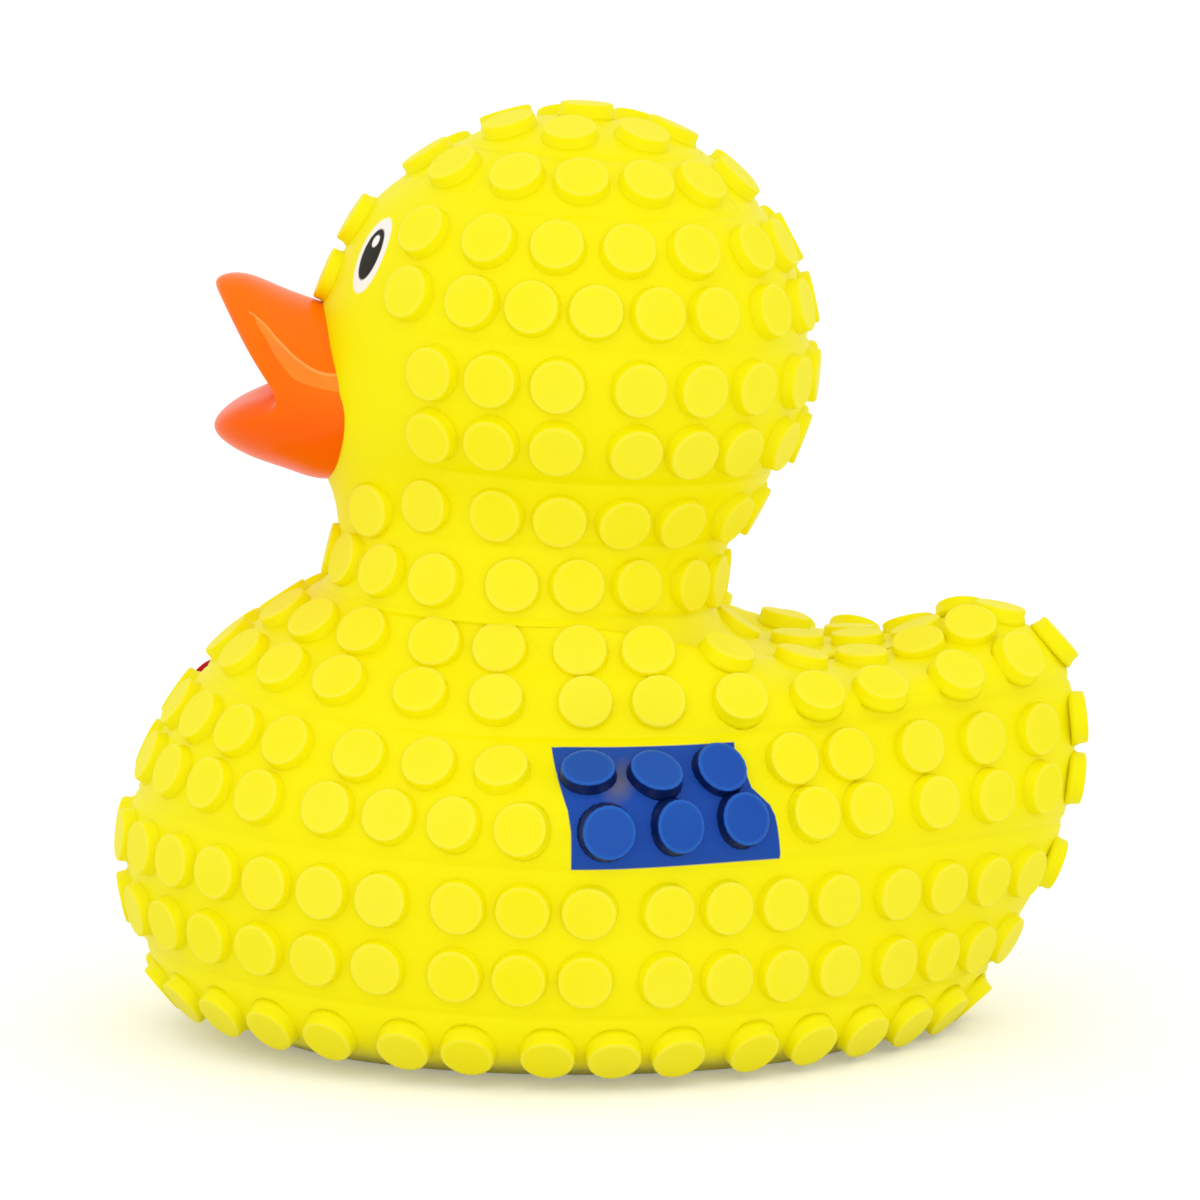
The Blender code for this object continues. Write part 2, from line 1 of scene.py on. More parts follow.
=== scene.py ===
# %% [markdown]
# # A studded rubber duck
# The real object is one hollow moulding of soft vinyl, about as long as a hand is wide. Its skin looks as
# if it were built from small studded bricks. The beak, the eyes and two bricks are painted on the moulding.
# This lesson dresses the solid model: a fine skin, round studs, a soft beak, paint, light and a camera.

# %% Load the frame
from math import cos, pi, radians, sin

import bmesh
import bpy
import numpy as np
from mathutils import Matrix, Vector


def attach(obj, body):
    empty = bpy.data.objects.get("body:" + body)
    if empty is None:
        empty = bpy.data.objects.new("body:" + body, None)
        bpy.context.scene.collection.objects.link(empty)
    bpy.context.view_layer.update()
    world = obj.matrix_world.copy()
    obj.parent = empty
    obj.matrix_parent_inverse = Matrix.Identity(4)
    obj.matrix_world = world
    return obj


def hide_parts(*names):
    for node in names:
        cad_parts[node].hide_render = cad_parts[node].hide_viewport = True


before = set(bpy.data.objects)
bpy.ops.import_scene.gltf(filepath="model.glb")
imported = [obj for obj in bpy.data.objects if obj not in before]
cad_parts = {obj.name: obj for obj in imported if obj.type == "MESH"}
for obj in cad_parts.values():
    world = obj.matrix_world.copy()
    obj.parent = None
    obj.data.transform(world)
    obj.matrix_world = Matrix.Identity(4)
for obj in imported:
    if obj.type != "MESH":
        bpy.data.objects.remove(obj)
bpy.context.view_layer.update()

# %% [markdown]
# ## The form of the duck
# On the real duck the studs stand in level rows, so rows are a good way to measure it. The head is a ball
# on a slightly leaning axis. The body is a set of rings, one for each row of studs, blunt at the front and
# drawn to a tail at the rear. A sculpted mesh could do this too, but rings keep every size in view, and
# the same numbers place the skin, the studs, the joints and the paint.

# %% Sizes of the head, and the rings of the body
STUD_DIAMETER = 0.0046
STUD_HEIGHT = 0.00095
LEAST_GAP = 0.0005
JOINT_GAP = 0.0012
HEAD_RADIUS = 0.0209
HEAD_X = -0.00245
HEAD_Z = 0.0605
HEAD_LEAN = radians(3.5)
BROW_BULGE = 0.0010
BROW_START_POLAR = radians(35)
BROW_FULL_POLAR = radians(60)
MUZZLE_BULGE = 0.0032
MUZZLE_START_POLAR = radians(70)
MUZZLE_FULL_POLAR = radians(125)
FACE_HALF_ANGLE = radians(50)
HEAD_ROWS = [radians(angle) for angle in (0, 21, 40, 59, 74.2, 91.8, 107, 127.5)]

# Each ring: front x and z, side x, y and z, rear x and z, front fullness, rear fullness, rear lift
BODY_ROWS = [
    ((-0.0232, 0.0428), (-0.0065, 0.0165, 0.0420), (0.0104, 0.0405), 2.0, 2.0, 2.0),
    ((-0.0247, 0.0400), (-0.0060, 0.0174, 0.0394), (0.0104, 0.0379), 2.0, 2.0, 2.0),
    ((-0.0263, 0.0389), (-0.0005, 0.0180, 0.0383), (0.0252, 0.0343), 2.0, 1.9, 1.0),
    ((-0.0280, 0.0378), (0.0030, 0.0186, 0.0364), (0.0354, 0.0366), 2.1, 1.6, 6.0),
    ((-0.0326, 0.0347), (0.0010, 0.0223, 0.0325), (0.0404, 0.0341), 2.05, 1.55, 2.0),
    ((-0.0371, 0.0295), (-0.0007, 0.0264, 0.0274), (0.0423, 0.0273), 1.97, 1.35, 2.0),
    ((-0.0397, 0.0248), (-0.0012, 0.0291, 0.0232), (0.0421, 0.0219), 1.92, 1.4, 2.0),
    ((-0.0420, 0.0179), (-0.0008, 0.0308, 0.0163), (0.0401, 0.0143), 1.86, 1.35, 1.0),
    ((-0.0416, 0.0119), (0.0000, 0.0308, 0.0103), (0.0366, 0.0080), 1.84, 1.4, 1.0),
    ((-0.0386, 0.0046), (-0.0009, 0.0289, 0.0035), (0.0331, 0.0026), 1.92, 1.6, 1.0),
    ((-0.0300, 0.0), (-0.0010, 0.0215, 0.0), (0.0260, 0.0), 2.0, 2.0, 2.0),
]
BASE_ROW = 18

# Soft swells of the skin: row, share, half rows, half share, and how far it is moved
WING = (13.75, 0.48, 1.5, 0.17, (0.0, -0.0028, 0.0))
WING_FOLD = (12.35, 0.48, 0.9, 0.14, (0.0, 0.0014, 0.0))
BACK_HOLLOW = (11.0, 0.76, 1.6, 0.22, (0.0, 0.0, -0.0014))
BACK_WAIST = (10.5, 0.76, 1.7, 0.24, (0.0, 0.0076, -0.0016))
SWELLS = [WING, WING_FOLD, BACK_HOLLOW, BACK_WAIST]

# %% Half rings with even steps along them
ARC_STEPS = 720
RING_COLUMNS = 480


def even_steps(points):
    steps = np.linalg.norm(np.diff(points, axis=0), axis=1)
    along = np.concatenate([[0.0], np.cumsum(steps)])
    wanted = np.linspace(0.0, along[-1], RING_COLUMNS + 1)
    return np.stack([np.interp(wanted, along, points[:, axis]) for axis in range(3)], -1), along[-1]


def smooth_step(value):
    value = np.clip(value, 0.0, 1.0)
    return value * value * (3.0 - 2.0 * value)


def head_ring(polar):
    polar = max(polar, 1e-4)
    axis = np.array([sin(HEAD_LEAN), 0.0, cos(HEAD_LEAN)])
    forward = np.array([-cos(HEAD_LEAN), 0.0, sin(HEAD_LEAN)])
    turn = np.linspace(0.0, pi, ARC_STEPS + 1)[:, None]
    flat = np.cos(turn) * forward + np.sin(turn) * np.array([0.0, -1.0, 0.0])
    brow = smooth_step((polar - BROW_START_POLAR) / (BROW_FULL_POLAR - BROW_START_POLAR))
    muzzle = smooth_step((polar - MUZZLE_START_POLAR) / (MUZZLE_FULL_POLAR - MUZZLE_START_POLAR))
    fade = np.cos(np.clip(turn / FACE_HALF_ANGLE, 0.0, 1.0) * pi / 2) ** 2
    radius = HEAD_RADIUS + (BROW_BULGE * brow + MUZZLE_BULGE * muzzle) * fade
    return np.array([HEAD_X, 0.0, HEAD_Z]) + radius * (sin(polar) * flat + cos(polar) * axis)


def body_ring(row):
    front, side, rear, front_power, rear_power, lift_power = row
    turn = np.linspace(0.0, pi, ARC_STEPS + 1)
    is_front = turn < pi / 2
    power = np.where(is_front, front_power, rear_power)
    reach = np.abs(np.cos(turn)) ** (2.0 / power)
    spread = np.abs(np.sin(turn)) ** (2.0 / power)
    end_x = np.where(is_front, front[0], rear[0])
    end_z = np.where(is_front, front[1], rear[1])
    lift = reach ** np.where(is_front, 2.0, lift_power)
    x = side[0] + (end_x - side[0]) * reach
    z = side[2] + (end_z - side[2]) * lift
    return np.stack([x, -side[1] * spread, z], -1)


rings = [even_steps(head_ring(polar)) for polar in HEAD_ROWS]
rings += [even_steps(body_ring(row)) for row in BODY_ROWS]
RINGS = np.array([ring for ring, _ in rings])
LENGTHS = np.array([length for _, length in rings])
print("rings:", len(RINGS), "longest half ring in mm:", round(LENGTHS.max() * 1000, 1))

# %% [markdown]
# ## A point anywhere on the skin
# A row number and a share of the half ring name any point of the skin. Between rings the point follows a
# smooth curve down the duck, so there is no corner where the head's ball ends and the body's rings start.
# Numbers are kept in arrays, because the skin has tens of thousands of points and a loop would be slow.

# %% Skin points and outward directions
def swelling(row, share):
    total = np.zeros(row.shape + (3,))
    for middle_row, middle_share, half_rows, half_share, move in SWELLS:
        down = np.clip((row - middle_row) / half_rows, -1.0, 1.0)
        across = np.clip((share - middle_share) / half_share, -1.0, 1.0)
        amount = (np.cos(down * pi / 2) * np.cos(across * pi / 2)) ** 2
        total += np.array(move) * amount[..., None]
    return total


def ring_points(index, share):
    index = np.clip(index, 0, BASE_ROW)
    place = np.clip(share, 0.0, 1.0) * RING_COLUMNS
    left = np.minimum(place.astype(int), RING_COLUMNS - 1)
    part = (place - left)[..., None]
    return RINGS[index, left] * (1.0 - part) + RINGS[index, left + 1] * part


def skin(row, share):
    row, share = np.broadcast_arrays(np.asarray(row, float), np.asarray(share, float))
    index = np.clip(row.astype(int), 0, BASE_ROW - 1)
    part = (row - index)[..., None]
    start, end = ring_points(index, share), ring_points(index + 1, share)
    before = np.where((index > 0)[..., None], ring_points(index - 1, share), 2.0 * start - end)
    after = np.where((index + 2 <= BASE_ROW)[..., None], ring_points(index + 2, share), 2.0 * end - start)
    gaps = [np.maximum(np.linalg.norm(b - a, axis=-1, keepdims=True), 1e-9)
            for a, b in ((before, start), (start, end), (end, after))]
    lead = gaps[1] * ((start - before) / gaps[0] * gaps[1] + (end - start) / gaps[1] * gaps[0])
    lead = lead / (gaps[0] + gaps[1])
    trail = gaps[1] * ((end - start) / gaps[1] * gaps[2] + (after - end) / gaps[2] * gaps[1])
    trail = trail / (gaps[1] + gaps[2])
    square, cube = part * part, part ** 3
    point = (2 * cube - 3 * square + 1) * start + (cube - 2 * square + part) * lead
    point = point + (3 * square - 2 * cube) * end + (cube - square) * trail
    return point + swelling(row, share)


def slopes(row, share):
    high, low = np.maximum(row - 0.05, 0.0), np.minimum(row + 0.05, float(BASE_ROW))
    front, rear = np.maximum(share - 0.004, 0.0), np.minimum(share + 0.004, 1.0)
    by_row = (skin(low, share) - skin(high, share)) / (low - high)[..., None]
    by_share = (skin(row, rear) - skin(row, front)) / (rear - front)[..., None]
    return by_row, by_share


def outward(row, share):
    row, share = np.broadcast_arrays(np.asarray(row, float), np.asarray(share, float))
    direction = np.cross(*slopes(row, share))
    on_plane = (share <= 0.0) | (share >= 1.0)
    direction[..., 1] = np.where(on_plane, 0.0, direction[..., 1])
    return direction / np.linalg.norm(direction, axis=-1, keepdims=True)


def length_at(row):
    index = min(int(row), BASE_ROW - 1)
    return LENGTHS[index] + (LENGTHS[index + 1] - LENGTHS[index]) * (row - index)


print("breast in mm:", np.round(skin(15.0, 0.0) * 1000, 1), "tail in mm:", np.round(skin(13.0, 1.0) * 1000, 1))

# %% [markdown]
# ## The brick pattern
# The moulding imitates bricks in courses. Seams run round the duck between courses, and short joints part
# the bricks of a course. A brick is written as the share where it ends and its count of studs; a count of
# zero is the bare face. The counts were read off the real duck row by row.

# %% Seams and bricks
SEAMS = [1.5, 2.5, 4.5, 6.5, 7.41, 9.0, 12.5, 14.5, 16.5]
BRICKS = {
    1: [(1.0, 7)],
    2: [(0.093, 1), (0.267, 1), (0.838, 4), (1.0, 2)],
    3: [(0.06, 0), (0.17, 0), (0.287, 1), (0.736, 4), (1.0, 5)],
    4: [(0.055, 0), (0.192, 0), (0.296, 1), (0.74, 5), (1.0, 5)],
    5: [(0.255, 0), (0.53, 3), (0.812, 3), (1.0, 4)],
    6: [(0.257, 0), (0.541, 3), (0.808, 3), (1.0, 4)],
    7: [(0.085, 0), (0.34, 2), (0.767, 4), (1.0, 4)],
    8: [(0.40, 7), (0.742, 3), (1.0, 5)],
    11: [(0.231, 6), (0.391, 2), (0.553, 2), (0.6415, 1), (1.0, 9)],
    12: [(0.251, 7), (0.41, 2), (0.56, 2), (0.636, 1), (0.785, 2), (1.0, 5)],
    13: [(0.240, 8), (0.440, 3), (0.626, 3), (0.748, 2), (1.0, 7)],
    14: [(0.2376, 8), (0.466, 4), (0.65, 3), (0.765, 2), (1.0, 7)],
    15: [(0.3686, 14), (0.534, 3), (0.752, 4), (1.0, 9)],
    16: [(0.370, 13), (0.540, 3), (0.7715, 4), (1.0, 8)],
    17: [(0.315, 10), (0.442, 2), (0.623, 3), (1.0, 12)],
}
BACK_STUDS = [9.21, 9.57, 9.86, 10.3]
BROW_STUDS = [3.19, 4.1]
CLOSEST = 0.8


def brick_sites(start, end, wanted):
    room = end - start
    count = max(0, min(wanted, int((room - JOINT_GAP) / (STUD_DIAMETER + LEAST_GAP))))
    pitch = (room - JOINT_GAP) / max(count, 1)
    return [start + JOINT_GAP / 2 + pitch * (number + 0.5) for number in range(count)]


def row_sites(row):
    length = length_at(row)
    bricks = BRICKS[row]
    if len(bricks) == 1:
        pitch = 2 * length / bricks[0][1]
        return [1.0 - number * pitch / length for number in range(int(length / pitch) + 1)]
    sites, start = [], 0.0
    for number, (share, wanted) in enumerate(bricks):
        end = share * length
        left = -end if number == 0 else start
        right = 2 * length - start if number == len(bricks) - 1 else end
        sites += [place for place in brick_sites(left, right, wanted) if -1e-6 < place < length + 1e-6]
        start = end
    return [min(max(place / length, 0.0), 1.0) for place in sites]


def all_sites():
    wanted = [(float(row), share) for row in BRICKS for share in row_sites(row)]
    wanted += [(row, 1.0) for row in BACK_STUDS] + [(row, 0.0) for row in BROW_STUDS]
    kept, centres = [], []
    for row, share in wanted:
        centre = skin(row, share)
        crosses = 0.0 < share < 1.0 and -centre[1] < STUD_DIAMETER / 2
        if not crosses and all(np.linalg.norm(centre - other) > CLOSEST * STUD_DIAMETER for other in centres):
            kept.append((row, share))
            centres.append(centre)
    return kept


sites = all_sites()
print("studs on the left half:", len(sites))

# %% [markdown]
# ## The skin
# The real skin is a smooth soft wall with shallow seams pressed into it. A grid of rows and columns is
# wrapped round the duck, and each point is drawn in a little where a seam or joint passes. Extra rows are
# put beside each seam, so the seam is crisp without a fine mesh everywhere. The grid goes on under the duck
# to the small vent hole, as the moulding does. Its UV map holds the share and the row, for the paint.

# %% Depth of the seams and joints
SEAM_DEPTH = 0.00022
SEAM_HALF_WIDTH = 0.00036
JOINT_DEPTH = 0.00008


def course_joints():
    """For each course: its top, its bottom, its rows, and the shares of its joints at each row."""
    found = []
    for top, bottom in zip([0.3] + SEAMS, SEAMS + [17.7]):
        rows = [row for row in BRICKS if top < row < bottom]
        counts = {len(BRICKS[row]) for row in rows}
        if len(counts) == 1:
            shares = [[BRICKS[row][number][0] for row in rows] for number in range(counts.pop() - 1)]
            found.append((top, bottom, rows, shares))
        else:
            found += [(max(top, row - 0.5), min(bottom, row + 0.5), [row],
                       [[share] for share, _ in BRICKS[row][:-1]]) for row in rows]
    return found


def groove_depth(row, share):
    """How far the skin is drawn in at each point."""
    by_row, by_share = slopes(row, share)
    row_size = np.linalg.norm(by_row, axis=-1)
    share_size = np.linalg.norm(by_share, axis=-1)
    depth = np.zeros(row.shape)
    for seam in SEAMS:
        depth = np.maximum(depth, SEAM_DEPTH * np.exp(-((row - seam) * row_size / SEAM_HALF_WIDTH) ** 2))
    for top, bottom, rows, joints in course_joints():
        inside = (row > top) & (row < bottom)
        for shares in joints:
            middle = np.interp(row, rows, shares)
            across = np.exp(-((share - middle) * share_size / SEAM_HALF_WIDTH) ** 2)
            depth = np.maximum(depth, np.where(inside, JOINT_DEPTH * across, 0.0))
    face = smooth_step((0.31 - share) / 0.05) * smooth_step((row - 2.2) / 0.4) * smooth_step((7.7 - row) / 0.3)
    return depth * (1.0 - face)


print("courses with joints:", len(course_joints()))

# %% Rows and columns of the skin
SKIN_COLUMNS = 230
ROW_SPACING = 0.00095
ROWS_AT_SEAM = (-0.0005, -0.00025, 0.0, 0.00025, 0.0005)
LEAST_ROW_STEP = 0.0002


def skin_rows():
    """Row numbers at even steps down the flank, with a few more beside each seam."""
    fine = np.linspace(0.03, BASE_ROW, 2400)
    path = skin(fine, 0.5)
    depth = np.concatenate([[0.0], np.cumsum(np.linalg.norm(np.diff(path, axis=0), axis=1))])
    even = np.interp(np.linspace(0.0, depth[-1], int(depth[-1] / ROW_SPACING)), depth, fine)
    near = np.concatenate([np.interp(np.interp(seam, fine, depth) + np.array(ROWS_AT_SEAM), depth, fine)
                           for seam in SEAMS])
    near_depth = np.interp(near, fine, depth)
    clear = [row for row in even if np.abs(np.interp(row, fine, depth) - near_depth).min() > LEAST_ROW_STEP]
    return np.sort(np.concatenate([clear, near]))


rows = skin_rows()
columns = np.arange(2 * SKIN_COLUMNS)
share_of_column = np.where(columns <= SKIN_COLUMNS, columns / SKIN_COLUMNS, 2.0 - columns / SKIN_COLUMNS)
row_grid, share_grid = np.meshgrid(rows, share_of_column, indexing="ij")
drawn_in = groove_depth(row_grid, share_grid)[..., None] * outward(row_grid, share_grid)
grid = skin(row_grid, share_grid) - drawn_in
grid[:, columns > SKIN_COLUMNS, 1] *= -1.0
grid[:, [0, SKIN_COLUMNS], 1] = 0.0
print("rows:", len(rows), "columns:", 2 * SKIN_COLUMNS)

# %% Base, vent and the finished skin mesh
VENT_RADIUS = 0.0016
VENT_X = 0.002
WALL = 0.0022


BASE_STEPS = (0.03, 0.1, 0.25, 0.45, 0.65, 0.85, 0.97)


def base_rings(rim):
    """Rings from the rim of the flat base to the vent, up the vent, and closed above it."""
    turn = np.arctan2(rim[:, 1], rim[:, 0] - VENT_X)
    hole = np.stack([VENT_X + VENT_RADIUS * np.cos(turn), VENT_RADIUS * np.sin(turn), 0.0 * turn], -1)
    inward = [rim + (hole - rim) * part for part in BASE_STEPS]
    up = [hole * np.array([1.0, 1.0, 0.0]) + np.array([0.0, 0.0, height]) for height in (0.0, 0.0002, WALL)]
    return np.array(inward + up)


def skin_mesh(grid, rows):
    below = base_rings(grid[-1] * np.array([1.0, 1.0, 0.0]))
    levels = np.concatenate([grid[:-1], [grid[-1] * np.array([1.0, 1.0, 0.0])], below])
    count = levels.shape[1]
    points = np.concatenate([levels.reshape(-1, 3), [skin(0.0, 0.5)], [[VENT_X, 0.0, WALL]]])
    down = np.concatenate([rows / BASE_ROW, 1.0 + 0.01 * np.arange(1, len(below) + 1)])
    faces, marks = [], []
    for level in range(len(levels) - 1):
        for column in range(count):
            after = (column + 1) % count
            faces.append((level * count + column, level * count + after,
                          (level + 1) * count + after, (level + 1) * count + column)[::-1])
            left, right = column / SKIN_COLUMNS, (column + 1) / SKIN_COLUMNS
            marks += [(left, down[level + 1]), (right, down[level + 1])]
            marks += [(right, down[level]), (left, down[level])]
    last = (len(levels) - 1) * count
    for column in range(count):
        after = (column + 1) % count
        faces.append((after, column, len(points) - 2))
        faces.append((last + column, last + after, len(points) - 1))
        marks += [(0.5, 0.0)] * 3 + [(0.5, 1.2)] * 3
    mesh = bpy.data.meshes.new("duck_skin")
    mesh.from_pydata(points.tolist(), [], faces)
    layer = mesh.uv_layers.new(name="share_and_row")
    layer.data.foreach_set("uv", np.array(marks, dtype=np.float32).ravel())
    mesh.shade_smooth()
    return mesh


def outward_volume(mesh):
    work = bmesh.new()
    work.from_mesh(mesh)
    volume = work.calc_volume(signed=True)
    odd = sum(not edge.is_manifold for edge in work.edges)
    work.free()
    return volume, odd


def place(name, mesh):
    piece = bpy.data.objects.new(name, mesh)
    bpy.context.scene.collection.objects.link(piece)
    return piece


duck_skin = place("duck_skin", skin_mesh(grid, rows))
print("skin faces:", len(duck_skin.data.polygons), "volume and open edges:", outward_volume(duck_skin.data))

# %% [markdown]
# ## The studs
# Each stud of the moulding is a low round button with a soft foot and a rounded rim, and they all are the
# same. So one stud is drawn once, and Geometry Nodes sets a copy of it on each point of a list, turned to
# face the way the skin faces there. Painted bricks have studs of their own colour, so there are three lists.

# %% One stud
STUD_SIDES = 20
STUD_PROFILE = [(1.10, -0.00055, 0.0), (1.05, 0.00004, 0.0), (1.01, 0.00016, 0.2), (1.0, 0.00074, 0.55),
                (0.98, 0.00089, 0.9), (0.93, STUD_HEIGHT, 1.0), (0.80, STUD_HEIGHT, 0.8)]
STUD_SCALE = 1.02


def stud_mesh():
    """A button of a few dozen faces with its height kept in an attribute."""
    turn = np.arange(STUD_SIDES) * 2 * pi / STUD_SIDES
    points, heights, faces = [], [], []
    for width, height, mark in STUD_PROFILE:
        radius = width * STUD_DIAMETER / 2
        points += [(radius * cos(angle), radius * sin(angle), height) for angle in turn]
        heights += [mark] * STUD_SIDES
    for level in range(len(STUD_PROFILE) - 1):
        for side in range(STUD_SIDES):
            after = (side + 1) % STUD_SIDES
            low, high = level * STUD_SIDES, (level + 1) * STUD_SIDES
            faces.append((low + side, low + after, high + after, high + side))
    top = (len(STUD_PROFILE) - 1) * STUD_SIDES
    faces.append(tuple(range(top, top + STUD_SIDES)))
    faces.append(tuple(reversed(range(STUD_SIDES))))
    mesh = bpy.data.meshes.new("one_stud")
    mesh.from_pydata(points, [], faces)
    mesh.attributes.new("rim", 'FLOAT', 'POINT').data.foreach_set("value", heights)
    mesh.shade_smooth()
    return mesh


one_stud = place("one_stud", stud_mesh())
print("faces of one stud:", len(one_stud.data.polygons))

# %% A node tree that sets studs on points
def stud_tree(material):
    tree = bpy.data.node_groups.new("set_studs", 'GeometryNodeTree')
    tree.interface.new_socket("Geometry", in_out='INPUT', socket_type='NodeSocketGeometry')
    tree.interface.new_socket("Stud", in_out='INPUT', socket_type='NodeSocketObject')
    tree.interface.new_socket("Stud scale", in_out='INPUT', socket_type='NodeSocketFloat').default_value = 1.0
    tree.interface.new_socket("Geometry", in_out='OUTPUT', socket_type='NodeSocketGeometry')
    nodes, links = tree.nodes, tree.links
    start, end = nodes.new("NodeGroupInput"), nodes.new("NodeGroupOutput")
    points = nodes.new("GeometryNodeMeshToPoints")
    facing = nodes.new("GeometryNodeInputNamedAttribute")
    facing.data_type = 'FLOAT_VECTOR'
    facing.inputs["Name"].default_value = "facing"
    turn = nodes.new("FunctionNodeAlignRotationToVector")
    turn.axis = 'Z'
    stud = nodes.new("GeometryNodeObjectInfo")
    copies = nodes.new("GeometryNodeInstanceOnPoints")
    real = nodes.new("GeometryNodeRealizeInstances")
    finish = nodes.new("GeometryNodeSetMaterial")
    finish.inputs["Material"].default_value = material
    links.new(start.outputs["Geometry"], points.inputs["Mesh"])
    links.new(start.outputs["Stud"], stud.inputs["Object"])
    links.new(facing.outputs["Attribute"], turn.inputs["Vector"])
    links.new(points.outputs["Points"], copies.inputs["Points"])
    links.new(stud.outputs["Geometry"], copies.inputs["Instance"])
    links.new(turn.outputs["Rotation"], copies.inputs["Rotation"])
    links.new(start.outputs["Stud scale"], copies.inputs["Scale"])
    links.new(copies.outputs["Instances"], real.inputs["Geometry"])
    links.new(real.outputs["Geometry"], finish.inputs["Geometry"])
    links.new(finish.outputs["Geometry"], end.inputs["Geometry"])
    return tree


def stud_points(name, chosen):
    """A mesh of loose points with the way that each faces."""
    mesh = bpy.data.meshes.new(name)
    mesh.from_pydata([point for point, _ in chosen], [], [])
    facing = mesh.attributes.new("facing", 'FLOAT_VECTOR', 'POINT')
    facing.data.foreach_set("vector", np.array([way for _, way in chosen], dtype=np.float32).ravel())
    return place(name, mesh)


def set_studs(name, chosen, material):
    piece = stud_points(name, chosen)
    modifier = piece.modifiers.new("studs", 'NODES')
    modifier.node_group = stud_tree(material)
    sockets = {item.name: item.identifier for item in modifier.node_group.interface.items_tree
               if item.in_out == 'INPUT'}
    modifier[sockets["Stud"]] = one_stud
    modifier[sockets["Stud scale"]] = STUD_SCALE
    bpy.context.view_layer.update()
    made = bpy.data.meshes.new_from_object(piece.evaluated_get(bpy.context.evaluated_depsgraph_get()))
    piece.modifiers.remove(modifier)
    piece.data = made
    made.name = name
    print(name, "studs:", len(chosen), "faces:", len(made.polygons))
    return piece


# %% [markdown]
# ## Which studs are painted
# On the real duck one brick on the flank is painted blue and one on the far side of the breast is red. The
# paint covers the wall and the studs of a whole brick. Every other stud is the yellow of the vinyl itself.

# %% Sort the studs by colour
BLUE_STUDS = {13: (0.440, 0.626), 14: (0.466, 0.650)}
RED_STUDS = {13: (0.06, 0.24), 14: (0.06, 0.24)}

# The two rear studs at the top of the wing hang a little low, in parts of a row
DROOP_ROW = 13
DROOP_SHARES = (0.50, 0.626)
DROOP = 0.07


def is_painted(row, share, field):
    return row in field and field[row][0] < share < field[row][1]


def both_sides(row, share):
    """The stud on each side, or the one in the middle: its place, its way, and whether it is the far one."""
    point, way = skin(row, share), outward(row, share)
    if share <= 0.0 or share >= 1.0:
        return [(point * np.array([1, 0, 1]), way, False)]
    flip = np.array([1.0, -1.0, 1.0])
    return [(point, way, False), (point * flip, way * flip, True)]


yellow, blue, red = [], [], []
for row, share in sites:
    is_low = row == DROOP_ROW and DROOP_SHARES[0] < share < DROOP_SHARES[1]
    for point, way, is_far in both_sides(row + DROOP * is_low, share):
        if not is_far and is_painted(row, share, BLUE_STUDS):
            blue.append((point, way))
        elif is_far and is_painted(row, share, RED_STUDS):
            red.append((point, way))
        else:
            yellow.append((point, way))
yellow.append((skin(0.0, 0.5), np.array([sin(HEAD_LEAN), 0.0, cos(HEAD_LEAN)])))
print("yellow, blue and red studs:", len(yellow), len(blue), len(red))

# %% [markdown]
# ## Materials
# The vinyl is a soft, slightly satin plastic. Its colour is even, with a faint cloudiness, and its surface
# has a very fine grain from the mould. One shader group makes the cloudiness and the grain for every
# finish on the duck, each with its own amounts, so the paint and the vinyl look like one moulding.

# %% The shared grain group
def new_material(name):
    material = bpy.data.materials.new(name)
    material.use_nodes = True
    return material, material.node_tree.nodes, material.node_tree.links


def add_node(nodes, kind, **values):
    node = nodes.new(kind)
    for key, value in values.items():
        setattr(node, key, value)
    return node


def calculate(nodes, links, operation, first, second=0.0, third=0.0, clamp=False):
    """A Math node fed by sockets or numbers, and its result."""
    node = add_node(nodes, "ShaderNodeMath", operation=operation, use_clamp=clamp)
    for socket, value in zip(node.inputs, (first, second, third)):
        if isinstance(value, (int, float)):
            socket.default_value = value
        else:
            links.new(value, socket)
    return node.outputs[0]


def grain_group():
    group = bpy.data.node_groups.new("vinyl_grain", 'ShaderNodeTree')
    inputs = (("Cloud scale", 60.0), ("Grain scale", 2600.0), ("Grain amount", 0.3))
    group.interface.new_socket("Place", in_out='INPUT', socket_type='NodeSocketVector')
    for name, value in inputs:
        group.interface.new_socket(name, in_out='INPUT', socket_type='NodeSocketFloat').default_value = value
    group.interface.new_socket("Cloud", in_out='OUTPUT', socket_type='NodeSocketFloat')
    group.interface.new_socket("Height", in_out='OUTPUT', socket_type='NodeSocketFloat')
    nodes, links = group.nodes, group.links
    start, end = nodes.new("NodeGroupInput"), nodes.new("NodeGroupOutput")
    cloud = add_node(nodes, "ShaderNodeTexNoise", noise_dimensions='3D')
    cloud.inputs["Detail"].default_value = 3.0
    grain = add_node(nodes, "ShaderNodeTexNoise", noise_dimensions='3D')
    grain.inputs["Detail"].default_value = 2.0
    links.new(start.outputs["Place"], cloud.inputs["Vector"])
    links.new(start.outputs["Place"], grain.inputs["Vector"])
    links.new(start.outputs["Cloud scale"], cloud.inputs["Scale"])
    links.new(start.outputs["Grain scale"], grain.inputs["Scale"])
    links.new(cloud.outputs["Fac"], end.inputs["Cloud"])
    height = calculate(nodes, links, 'MULTIPLY', grain.outputs["Fac"], start.outputs["Grain amount"])
    links.new(height, end.inputs["Height"])
    return group


vinyl_grain = grain_group()


def linear(red, green, blue):
    """A colour as it is seen on screen, from 0 to 255, as the numbers that Blender mixes."""
    parts = [part / 255.0 for part in (red, green, blue)]
    mixed = [part / 12.92 if part <= 0.04045 else ((part + 0.055) / 1.055) ** 2.4 for part in parts]
    return tuple(mixed) + (1.0,)


